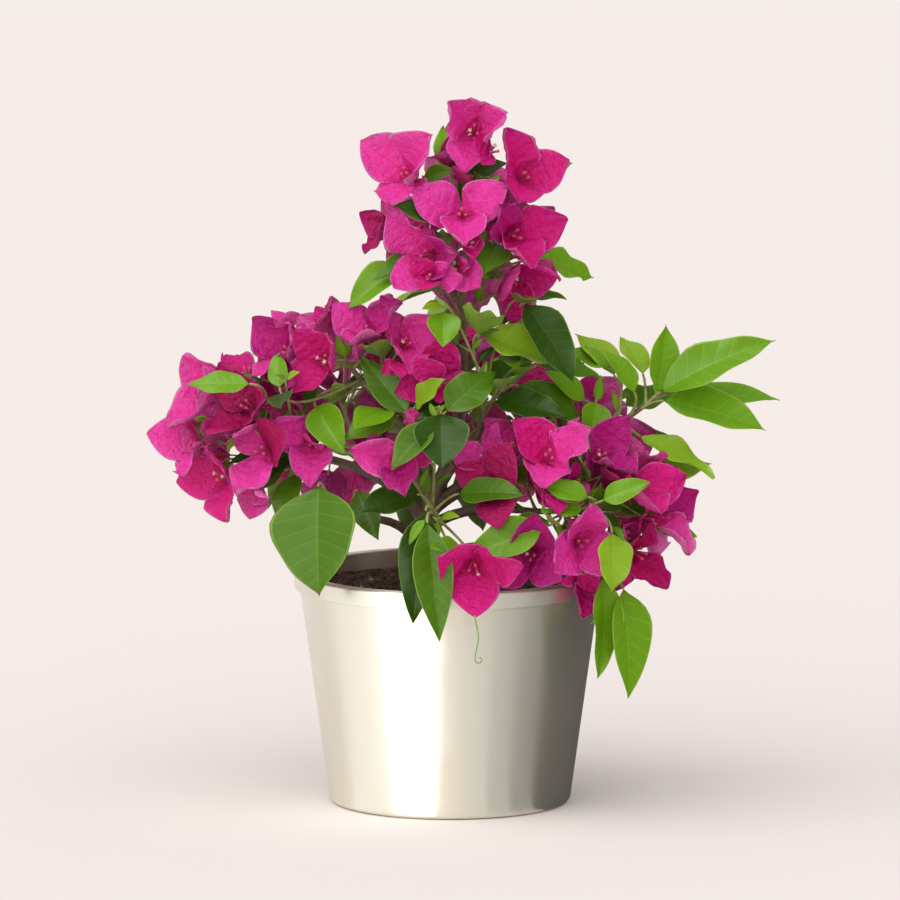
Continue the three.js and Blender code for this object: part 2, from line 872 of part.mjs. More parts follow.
const colours = { pot: 0xe6dcc6, soil: 0x3b2a20, bark: 0x5a4330, bloom: 0xc8167a, leaf: 0x5c9a28 };
const plant = new THREE.Group();

function add(name, solid, color, roughness, metalness = 0) {
  const material = new THREE.MeshStandardMaterial({ color, roughness, metalness });
  const mesh = new THREE.Mesh(geometryOf(solid), material);
  mesh.name = name;
  plant.add(mesh);
}

const potBody = potSolid();
const soilBody = soilSolid();
stand(potBody, "pot");
stand(soilBody, "soil");
stand(trunkSolid, "trunk");
add("pot", potBody, colours.pot, 0.35, 0.6);
add("soil", soilBody, colours.soil, 0.95);
add("trunk", trunkSolid, colours.bark, 0.85);

const grown = Object.entries(boughs).map(([name, plan], index) => {
  const curve = boughCurve(plan);
  const solid = boughSolid(plan, curve);
  stand(solid, "bough_" + name);
  add("bough_" + name, solid, colours.bark, 0.8);
  return new Mass(name, index, curve);
});
for (const mass of grown) mass.growTwigs();
for (const mass of grown) mass.growBlades();
for (const mass of grown) mass.growSideLeaves();
for (const mass of grown) {
  const color = mass.plan.blooms.length > 2 ? colours.bloom : colours.leaf;
  add("foliage_" + mass.name, mass.solid(), color, 0.6);
}

export default plant;
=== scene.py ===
import math

import bpy
import numpy as np
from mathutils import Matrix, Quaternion, Vector, noise
from mathutils.bvhtree import BVHTree


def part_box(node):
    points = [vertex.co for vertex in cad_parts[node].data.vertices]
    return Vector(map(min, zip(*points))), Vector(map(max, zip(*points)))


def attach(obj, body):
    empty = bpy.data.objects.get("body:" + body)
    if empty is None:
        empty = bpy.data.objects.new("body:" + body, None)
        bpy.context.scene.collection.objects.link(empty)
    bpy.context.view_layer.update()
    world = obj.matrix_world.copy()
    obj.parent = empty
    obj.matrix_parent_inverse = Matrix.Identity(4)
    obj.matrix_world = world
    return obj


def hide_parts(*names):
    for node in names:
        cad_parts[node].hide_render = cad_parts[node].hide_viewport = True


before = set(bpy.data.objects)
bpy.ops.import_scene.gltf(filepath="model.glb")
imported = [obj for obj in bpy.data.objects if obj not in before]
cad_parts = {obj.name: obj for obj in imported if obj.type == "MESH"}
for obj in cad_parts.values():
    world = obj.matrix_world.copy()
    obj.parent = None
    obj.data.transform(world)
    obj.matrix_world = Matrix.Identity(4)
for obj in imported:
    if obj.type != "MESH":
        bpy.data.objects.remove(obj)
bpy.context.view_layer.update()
scene = bpy.context.scene
mm = 0.001
up = Vector((0, 0, 1))
print("frame: loaded", len(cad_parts), "solids")


def restSelection():
    if bpy.context.mode != "OBJECT":
        bpy.ops.object.mode_set(mode="OBJECT")
    bpy.ops.object.select_all(action="DESELECT")


def newMaterial(name, colour, roughness, **values):
    material = bpy.data.materials.new(name)
    material.use_nodes = True
    material.diffuse_color = (*colour, 1)
    shader = material.node_tree.nodes["Principled BSDF"]
    shader.inputs["Base Color"].default_value = (*colour, 1)
    shader.inputs["Roughness"].default_value = roughness
    for key, value in values.items():
        shader.inputs[key].default_value = value
    return material


view = {"elevation": 8.3, "distance": 8000, "width": 606, "lookHeight": 238.7, "farthest": 100000}


def addCamera(setup):
    tilt = math.radians(setup["elevation"])
    away = setup["distance"] * mm
    place = (0, -away * math.cos(tilt), setup["lookHeight"] * mm + away * math.sin(tilt))
    restSelection()
    bpy.ops.object.camera_add(location=place, rotation=(math.pi / 2 - tilt, 0, 0))
    camera = bpy.context.object
    camera.name = "camera"
    camera.data.lens = camera.data.sensor_width * setup["distance"] / setup["width"]
    camera.data.clip_end = setup["farthest"] * mm
    scene.camera = camera


studio = {
    "floorSize": 60000,
    "floorDrop": 0.2,
    "floorColour": (0.842, 0.790, 0.775),
    "floorRoughness": 0.9,
    "skyColour": (1.0, 0.975, 0.955),
    "skyStrength": 0.74,
    "keyTurn": 34,
    "keyRise": 50,
    "keyPower": 1.45,
    "keySoftness": 90,
    "keyColour": (1.0, 0.98, 0.95),
}

# Cards that only show as reflections in the pot. Each lies on the floor and then stands up, and it covers
# what the pot's wall mirrors between two turns from the front to the right: (turn, turn, glow).
cards = {
    "mirrored": [
        (-54, -27, 1.06), (-27, -7, 3.6), (6, 18, 0.72), (18, 30, 0.50), (30, 44, 0.28), (44, 88, 0.03),
    ],
    "radius": 82,
    "near": 3,
    "far": 620,
    "height": 900,
}
# A softbox high on the left, for the sheen on leaves and bracts.
softbox = {"aim": (0, 0, 260), "turn": 38, "rise": 52, "distance": 1300, "size": 800, "glow": 6.0}
glowColour = (1, 0.98, 0.94)


def addStudio(setup):
    restSelection()
    bpy.ops.mesh.primitive_plane_add(size=setup["floorSize"] * mm, location=(0, 0, -setup["floorDrop"] * mm))
    floor = bpy.context.object
    floor.name = "floor"
    matt = {"Specular IOR Level": 0.0}
    skin = newMaterial("paleFloor", setup["floorColour"], setup["floorRoughness"], **matt)
    floor.data.materials.append(skin)
    world = bpy.data.worlds.new("softSky")
    world.use_nodes = True
    sky = world.node_tree.nodes["Background"]
    sky.inputs["Color"].default_value = (*setup["skyColour"], 1)
    sky.inputs["Strength"].default_value = setup["skyStrength"]
    scene.world = world
    # The key light stands on the left in front of the bush.
    rise, turn = math.radians(setup["keyRise"]), math.radians(setup["keyTurn"])
    bpy.ops.object.light_add(type="SUN", rotation=(math.pi / 2 - rise, 0, -turn))
    key = bpy.context.object
    key.name = "keyLight"
    key.data.energy = setup["keyPower"]
    key.data.angle = math.radians(setup["keySoftness"])
    key.data.color = setup["keyColour"]
    scene.view_settings.view_transform = "Standard"


# Shows on glossy surfaces as a reflection and gives no light of its own.
def addGlow(name, points, faces, glow):
    mesh = bpy.data.meshes.new(name)
    mesh.from_pydata([tuple(point * mm) for point in points], [], faces)
    card = bpy.data.objects.new(name, mesh)
    scene.collection.objects.link(card)
    light = {"Emission Color": (*glowColour, 1), "Emission Strength": glow}
    mesh.materials.append(newMaterial(name, (0, 0, 0), 0.5, **light))
    for way in ("camera", "diffuse", "shadow", "transmission", "volume_scatter"):
        setattr(card, "visible_" + way, False)


def addCard(name, turns, glow, setup):
    points = []
    for reach, height in ((setup["near"], 1), (setup["far"], 1), (setup["far"], setup["height"])):
        for turn in turns:
            place = math.radians(turn)
            away = (math.sin(2 * place), -math.cos(2 * place))
            x = setup["radius"] * math.sin(place) + reach * away[0]
            y = -setup["radius"] * math.cos(place) + reach * away[1]
            points.append(Vector((x, y, height)))
    addGlow(name, points, [(0, 1, 3, 2), (2, 3, 5, 4)], glow)


def addSoftbox(setup):
    rise, turn = math.radians(setup["rise"]), math.radians(setup["turn"])
    away = Vector((-math.cos(rise) * math.sin(turn), -math.cos(rise) * math.cos(turn), math.sin(rise)))
    side = away.cross(up).normalized() * setup["size"] / 2
    tall = side.cross(away).normalized() * setup["size"] / 2
    middle = Vector(setup["aim"]) + away * setup["distance"]
    corners = [middle - side - tall, middle + side - tall, middle + side + tall, middle - side + tall]
    addGlow("softbox", corners, [(0, 1, 2, 3)], setup["glow"])


addCamera(view)
addStudio(studio)
for k, (*turns, glow) in enumerate(cards["mirrored"]):
    addCard(f"card{k}", turns, glow, cards)
addSoftbox(softbox)
print("studio: camera, floor and light")


# Each joint: a node, its output's name, the node it feeds, and the name of the input there.
def wire(tree, *joints):
    for source, output, target, socket in joints:
        tree.links.new(source.outputs[output], target.inputs[socket])


def newGroup(name, inputs, outputs):
    tree = bpy.data.node_groups.new(name, "ShaderNodeTree")
    for socket, kind, value in inputs:
        tree.interface.new_socket(name=socket, in_out="INPUT", socket_type=kind).default_value = value
    for socket, kind in outputs:
        tree.interface.new_socket(name=socket, in_out="OUTPUT", socket_type=kind)
    return tree, tree.nodes.new("NodeGroupInput"), tree.nodes.new("NodeGroupOutput")


def addNode(tree, kind, place=(0, 0), **values):
    node = tree.nodes.new(kind)
    node.location = place
    for key, value in values.items():
        if key in node.inputs:
            node.inputs[key].default_value = value
        else:
            setattr(node, key, value)
    return node


# Fine surface relief and a change of gloss, from two sizes of noise in the object's own space.
def makeGrainGroup():
    tree, given, result = newGroup(
        "fineGrain",
        [
            ("Scale", "NodeSocketFloat", 400.0),
            ("Relief", "NodeSocketFloat", 0.1),
            ("Depth", "NodeSocketFloat", 0.0002),
            ("Smooth", "NodeSocketFloat", 0.4),
            ("Rough", "NodeSocketFloat", 0.6),
        ],
        [("Normal", "NodeSocketVector"), ("Roughness", "NodeSocketFloat"), ("Pattern", "NodeSocketFloat")],
    )
    place = addNode(tree, "ShaderNodeTexCoord", (-900, 0))
    fine = addNode(tree, "ShaderNodeTexNoise", (-600, 100), Detail=4.0, Roughness=0.6)
    broad = addNode(tree, "ShaderNodeTexNoise", (-600, -200), Scale=60.0, Detail=2.0)
    bump = addNode(tree, "ShaderNodeBump", (-200, 100))
    spread = addNode(tree, "ShaderNodeMapRange", (-200, -200), **{"From Min": 0.3, "From Max": 0.7})
    wire(
        tree,
        (place, "Object", fine, "Vector"),
        (place, "Object", broad, "Vector"),
        (given, "Scale", fine, "Scale"),
        (given, "Relief", bump, "Strength"),
        (given, "Depth", bump, "Distance"),
        (fine, "Fac", bump, "Height"),
        (broad, "Fac", spread, "Value"),
        (given, "Smooth", spread, "To Min"),
        (given, "Rough", spread, "To Max"),
        (bump, "Normal", result, "Normal"),
        (spread, "Result", result, "Roughness"),
        (fine, "Fac", result, "Pattern"),
    )
    return tree


grainGroup = makeGrainGroup()


# Puts a group with its own values in a material and feeds the shader's normal and roughness from it.
def addGroup(material, group, **values):
    tree = material.node_tree
    node = addNode(tree, "ShaderNodeGroup", (-600, 0), node_tree=group)
    for key, value in values.items():
        node.inputs[key].default_value = value
    shader = tree.nodes["Principled BSDF"]
    wire(tree, (node, "Normal", shader, "Normal"), (node, "Roughness", shader, "Roughness"))
    return node


def addGrain(material, scale, relief, depth, smooth, rough):
    return addGroup(material, grainGroup, Scale=scale, Relief=relief, Depth=depth, Smooth=smooth, Rough=rough)


# Colours a material from a group's pattern: dark up to the first share of it, pale from the second on.
def addRamp(material, pattern, dark, pale, shares):
    tree = material.node_tree
    ramp = addNode(tree, "ShaderNodeValToRGB", (-300, 300))
    for element, share, colour in zip(ramp.color_ramp.elements, shares, (dark, pale)):
        element.position = share
        element.color = (*colour, 1)
    shader = tree.nodes["Principled BSDF"]
    wire(tree, (pattern, "Pattern", ramp, "Fac"), (ramp, "Color", shader, "Base Color"))


# How leaves and bracts take the light: their gloss, how much shines through, and the fine relief.
bladeSkins = {
    "leaf": {"smooth": 0.28, "rough": 0.42, "thin": 0.12, "shine": 0.17, "relief": (900, 0.35, 0.0004)},
    "bract": {"smooth": 0.44, "rough": 0.62, "thin": 0.2, "shine": 0.15, "relief": (230, 1.0, 0.0038)},
}


# The four plain materials of one colour of leaf or bract.
def bladeSet(name, colours, skin):
    made = []
    values = {
        "Subsurface Weight": skin["thin"],
        "Subsurface Radius": (0.6, 0.6, 0.6),
        "Subsurface Scale": 0.002,
        "Specular IOR Level": skin["shine"],
    }
    # The rim colour is a paler margin: partly the blade's own pale edge, partly a painted highlight along it.
    # On bracts the vein colour also paints shade at the base.
    for part, colour in zip(("", "Vein", "Back", "Rim"), colours):
        material = newMaterial(name + part, colour, skin["rough"], **values)
        addGrain(material, *skin["relief"], skin["smooth"], skin["rough"])
        made.append(material)
    return made


# Each line gives the face, the veins, the back and the rim. The bright and dark lines lie further apart than
# the leaves' own tones: the spread is partly their own tone and partly painted light and shade.
leafColours = {
    "leafBright": [(0.148, 0.345, 0.005), (0.215, 0.42, 0.024), (0.21, 0.35, 0.045), (0.3, 0.49, 0.05)],
    "leafMid": [(0.072, 0.182, 0.003), (0.115, 0.245, 0.014), (0.125, 0.215, 0.028), (0.19, 0.36, 0.03)],
    "leafDark": [(0.025, 0.074, 0.002), (0.046, 0.112, 0.008), (0.062, 0.118, 0.018), (0.105, 0.215, 0.018)],
    "leafYoung": [(0.25, 0.45, 0.016), (0.33, 0.51, 0.045), (0.31, 0.44, 0.065), (0.4, 0.57, 0.08)],
}
# Beside the bracts' own tones, the pink line is partly a painted highlight and the deep and purple lines
# partly painted shade. The bracts' deeper vein colour is partly the veins' own tone, partly painted shade in
# the creases.
bractColours = {
    "bractPink": [(0.87, 0.042, 0.395), (0.76, 0.018, 0.285), (0.86, 0.09, 0.45), (0.92, 0.15, 0.54)],
    "bractMagenta": [(0.72, 0.008, 0.23), (0.59, 0.004, 0.155), (0.73, 0.034, 0.29), (0.83, 0.06, 0.36)],
    "bractDeep": [(0.465, 0.002, 0.115), (0.36, 0.001, 0.075), (0.48, 0.014, 0.15), (0.6, 0.018, 0.2)],
    "bractPurple": [(0.535, 0.008, 0.225), (0.42, 0.004, 0.155), (0.54, 0.028, 0.26), (0.66, 0.04, 0.33)],
}


# The pot's outline from its foot up, over the rim and down inside: (radius, height).
pot = {
    "foot": 78.0,
    "outside": [
        (80.1, 0.9), (81.4, 3.0), (101.0, 145.0), (104.2, 145.4), (105.0, 146.4), (105.0, 156.0),
        (104.0, 157.0),
    ],
    "inside": [(96.4, 157.0), (95.7, 156.3), (95.9, 145.0), (76.9, 6.4), (75.6, 6.0)],
    "floorInset": 20,
    "sides": 160,
    "edge": 0.5,
    "crease": 35,
    "colour": (0.82, 0.792, 0.690),
    "roughness": 0.38,
    "finish": {"Metallic": 0.85, "Anisotropic": 0.8, "Anisotropic Rotation": 0.25},
    "grain": (1500, 0.05, 0.0001, 0.33, 0.42),
}


# The top face is carried up the outside, over the rim and down to the floor inside.
def carryTo(radius, height, last):
    bpy.ops.mesh.extrude_region_move(TRANSFORM_OT_translate={"value": (0, 0, (height - last[1]) * mm)})
    share = radius / last[0]
    bpy.ops.transform.resize(value=(share, share, 1), center_override=(0, 0, height * mm))
    return radius, height


def makePot(setup):
    restSelection()
    bpy.ops.mesh.primitive_circle_add(vertices=setup["sides"], radius=setup["foot"] * mm, fill_type="NGON")
    piece = bpy.context.object
    piece.name = "potShell"
    bpy.ops.object.mode_set(mode="EDIT")
    bpy.ops.mesh.select_all(action="SELECT")
    last = (setup["foot"], 0.0)
    for radius, height in setup["outside"] + setup["inside"]:
        last = carryTo(radius, height, last)
    bpy.ops.mesh.inset(thickness=setup["floorInset"] * mm)
    bpy.ops.mesh.select_all(action="SELECT")
    bpy.ops.mesh.normals_make_consistent(inside=False)
    bpy.ops.object.mode_set(mode="OBJECT")
    soften = piece.modifiers.new("softEdges", "BEVEL")
    soften.width = setup["edge"] * mm
    soften.segments = 2
    soften.angle_limit = math.radians(setup["crease"])
    bpy.ops.object.modifier_apply(modifier="softEdges")
    bpy.ops.object.shade_smooth_by_angle(angle=math.radians(setup["crease"]))
    material = newMaterial("satinChampagne", setup["colour"], setup["roughness"], **setup["finish"])
    addGrain(material, *setup["grain"])
    piece.data.materials.append(material)
    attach(piece, "root")
    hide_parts("pot")


# The radius of the pot's inside at a height, between two points of its outline.
def wallInside(height):
    (wide, high), (narrow, low) = pot["inside"][2:4]
    return narrow + (wide - narrow) * (height - low) / (high - low)


soil = {
    "low": 6.6,
    "top": 144.6,
    "gap": 0.3,
    "rings": 56,
    "sides": 170,
    "lumps": [(0.03, 1.1), (0.09, 0.9), (0.26, 0.6), (0.7, 0.3)],
    "edgeFrom": 84,
    "edgeWidth": 12,
    "dark": (0.062, 0.034, 0.021),
    "pale": (0.235, 0.148, 0.092),
    "shares": (0.35, 0.68),
    "grain": (700, 0.9, 0.0012, 0.8, 1.0),
}


def soilHeight(x, y):
    edge = max(0.0, (math.hypot(x, y) - soil["edgeFrom"]) / soil["edgeWidth"])
    lift = sum(size * noise.noise(Vector((x * scale, y * scale, 5.0))) for scale, size in soil["lumps"])
    return soil["top"] + lift + edge * edge


def makeSoil(setup):
    restSelection()
    foot, brim = (wallInside(setup[height]) - setup["gap"] for height in ("low", "top"))
    disc = {"vertices": setup["sides"], "radius": foot * mm, "fill_type": "NGON"}
    bpy.ops.mesh.primitive_circle_add(**disc, location=(0, 0, setup["low"] * mm))
    piece = bpy.context.object
    piece.name = "soilBed"
    bpy.ops.object.transform_apply(location=True)
    bpy.ops.object.mode_set(mode="EDIT")
    bpy.ops.mesh.select_all(action="SELECT")
    last = carryTo(brim, setup["top"], (foot, setup["low"]))
    for ring in range(1, setup["rings"]):
        last = carryTo(brim * (1 - ring / setup["rings"]), setup["top"], last)
    bpy.ops.mesh.merge(type="CENTER")
    bpy.ops.mesh.select_all(action="SELECT")
    bpy.ops.mesh.normals_make_consistent(inside=False)
    bpy.ops.object.mode_set(mode="OBJECT")
    for vertex in piece.data.vertices:
        if vertex.co.z > (setup["top"] - 1) * mm:
            vertex.co.z = soilHeight(vertex.co.x / mm, vertex.co.y / mm) * mm
    bpy.ops.object.shade_smooth()
    material = newMaterial("dampSoil", setup["dark"], 0.95)
    addRamp(material, addGrain(material, *setup["grain"]), setup["dark"], setup["pale"], setup["shares"])
    piece.data.materials.append(material)
    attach(piece, "root")
    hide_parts("soil")


# Gathers the points and faces of many small things that become one piece.
class Gathering:
    def __init__(self, name, materials):
        self.name = name
        self.materials = materials
        self.points, self.faces, self.kinds, self.places = [], [], [], []
        self.count = 0

    def add(self, points, faces, kinds=0, places=None):
        self.points.append(np.asarray(points, float))
        self.faces.extend([tuple(k + self.count for k in face) for face in faces])
        self.kinds.extend([kinds] * len(faces) if isinstance(kinds, int) else kinds)
        if places:
            self.places.extend(places)
        self.count += len(points)

    def finish(self, slot, nodes):
        mesh = bpy.data.meshes.new(self.name)
        mesh.from_pydata((np.vstack(self.points) * mm).tolist(), [], self.faces)
        for material in self.materials:
            mesh.materials.append(material)
        mesh.polygons.foreach_set("material_index", np.array(self.kinds, np.int32))
        mesh.polygons.foreach_set("use_smooth", np.ones(len(self.faces), bool))
        if self.places:
            limbPlace = mesh.attributes.new("limbPlace", "FLOAT_VECTOR", "POINT")
            limbPlace.data.foreach_set("vector", np.array(self.places, np.float32).ravel())
        mesh.update()
        piece = bpy.data.objects.new(self.name, mesh)
        scene.collection.objects.link(piece)
        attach(piece, "root")
        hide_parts(*nodes)
        triangles = sum(len(face) - 2 for face in self.faces)
        print("piece:", self.name, len(self.faces), "faces", triangles, "triangles")


# What the dice are rolled for, as one of their marks. A side bloom adds its own number on its twig.
draws = {
    "bloom": 1,
    "leaf": 2,
    "sideLeafSpot": 3,
    "sideLeaf": 4,
    "sideBloomSpot": 5,
    "sideBloom": 6,
    "smallLeaf": 8,
    "youngLeaf": 9,
    "lateLeaf": 11,
    "oddBract": 44,
    "colour": 55,
    "flower": 60,
    "sheet": 77,
    "soilBit": 99,
}


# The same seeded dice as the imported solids': each list of marks starts a row of numbers of its own.
def dice(*marks):
    state = 20261
    for mark in marks:
        state = (state * 69069 + mark * 2654435 + 1) % 4294967296

    def roll(low=0.0, high=1.0):
        nonlocal state
        state = (state * 1664525 + 1013904223) % 4294967296
        return low + (high - low) * state / 4294967296

    for _ in range(3):
        roll()
    return roll


# Crumbs, bark chips and grit. A skin is its material's name, colour and roughness.
bitSkins = {
    "Dark": ("crumbDark", (0.085, 0.048, 0.030), 0.95),
    "Brown": ("crumbBrown", (0.175, 0.104, 0.062), 0.95),
    "Tan": ("chipTan", (0.200, 0.125, 0.070), 0.9),
    "Pale": ("gritPale", (0.520, 0.480, 0.420), 0.85),
}
soilBits = {
    "reach": 93,
    "uneven": 0.22,
    "raised": 0.15,
    "grain": (1500, 0.6, 0.0005, 0.8, 1.0),
    "kinds": {
        "soilCrumbs": {"count": 1700, "size": (0.7, 3.0), "stretch": 1, "skins": ["Dark", "Brown", "Dark"]},
        "barkChips": {"count": 260, "size": (0.5, 1.6), "stretch": 3.2, "skins": ["Tan", "Brown"]},
        "paleGrit": {"count": 150, "size": (0.5, 1.5), "stretch": 1, "skins": ["Pale"]},
    },
}


# A rounded crumb from a ball primitive, used for all the loose bits on the soil.
def crumbShape():
    restSelection()
    bpy.ops.mesh.primitive_ico_sphere_add(subdivisions=1, radius=1)
    ball = bpy.context.object
    points = np.array([tuple(v.co) for v in ball.data.vertices])
    faces = [tuple(p.vertices) for p in ball.data.polygons]
    bpy.data.objects.remove(ball)
    return points, faces


def scatterBits(name, kind, mark, materials, ball):
    bits = Gathering(name, [materials[skin] for skin in kind["skins"]])
    points, faces = ball
    small, large = kind["size"]
    for k in range(kind["count"]):
        roll = dice(draws["soilBit"], mark, k)
        radius = soilBits["reach"] * math.sqrt(roll())
        turn = roll(0, 2 * math.pi)
        x, y = radius * math.cos(turn), radius * math.sin(turn)
        big = small + (large - small) * roll() ** 3
        shape = points * [1 + 0.3 * roll(-1, 1), 1 + 0.3 * roll(-1, 1), 0.75 + 0.2 * roll(-1, 1)]
        shape = shape * (1 + soilBits["uneven"] * np.array([roll(-1, 1) for _ in points]))[:, None]
        shape = shape * [big * kind["stretch"], big, big]
        spin = Quaternion((0, 0, 1), roll(0, 6.3)) @ Quaternion((0, 1, 0), roll(-0.4, 0.4))
        shape = shape @ np.array(spin.to_matrix()).T
        middle = [x, y, soilHeight(x, y) + soilBits["raised"] * big]
        bits.add(shape + middle, faces, k % len(bits.materials))
    bits.finish("soil", ["soil"])


def addSoilBits(setup):
    materials, ball = {}, crumbShape()
    for skin, values in bitSkins.items():
        materials[skin] = newMaterial(*values)
        addGrain(materials[skin], *setup["grain"])
    for mark, (name, kind) in enumerate(setup["kinds"].items(), 1):
        scatterBits(name, kind, mark, materials, ball)


makePot(pot)
makeSoil(soil)
addSoilBits(soilBits)
print("pot and soil: made")

# The trunk and the named sizes that the growth is worked out from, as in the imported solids.
trunk = {
    "foot": (-24, 6, 145.3),
    "knee": (-24, 6, 178),
    "top": (-8, 4, 214),
    "girth": (6.4, 5.2),
    "flare": 3.4,
    "flareFades": 7,
}

# A bough leaves the trunk at a share of its length and ends at its tip; girth is its radius at both ends.
boughs = {
    "top": {"at": 1, "tip": (8, 5, 322), "girth": (4.9, 3.0)},
    "shoulder": {"at": 0.93, "tip": (-52, -12, 280), "girth": (3.8, 2.4)},
    "left": {"at": 0.66, "tip": (-88, -14, 236), "girth": (4.0, 2.6)},
    "apron": {"at": 0.42, "tip": (-62, -42, 198), "girth": (3.4, 2.2)},
    "front": {"at": 0.34, "tip": (-12, -56, 205), "girth": (3.4, 2.2)},
    "middle": {"at": 0.86, "tip": (16, -22, 248), "girth": (3.6, 2.2)},
    "right": {"at": 0.56, "tip": (46, -26, 202), "girth": (4.0, 2.6)},
    "hang": {"at": 0.2, "tip": (84, -58, 172), "girth": (3.2, 2.0)},
    "shoot": {"at": 0.78, "tip": (76, 0, 242), "girth": (3.8, 2.4)},
    "back_left": {"at": 0.84, "tip": (-46, 42, 226), "girth": (3.8, 2.4)},
    "back_right": {"at": 0.7, "tip": (38, 46, 212), "girth": (3.8, 2.4)},
    "back": {"at": 0.5, "tip": (-4, 60, 212), "girth": (3.6, 2.2)},
}

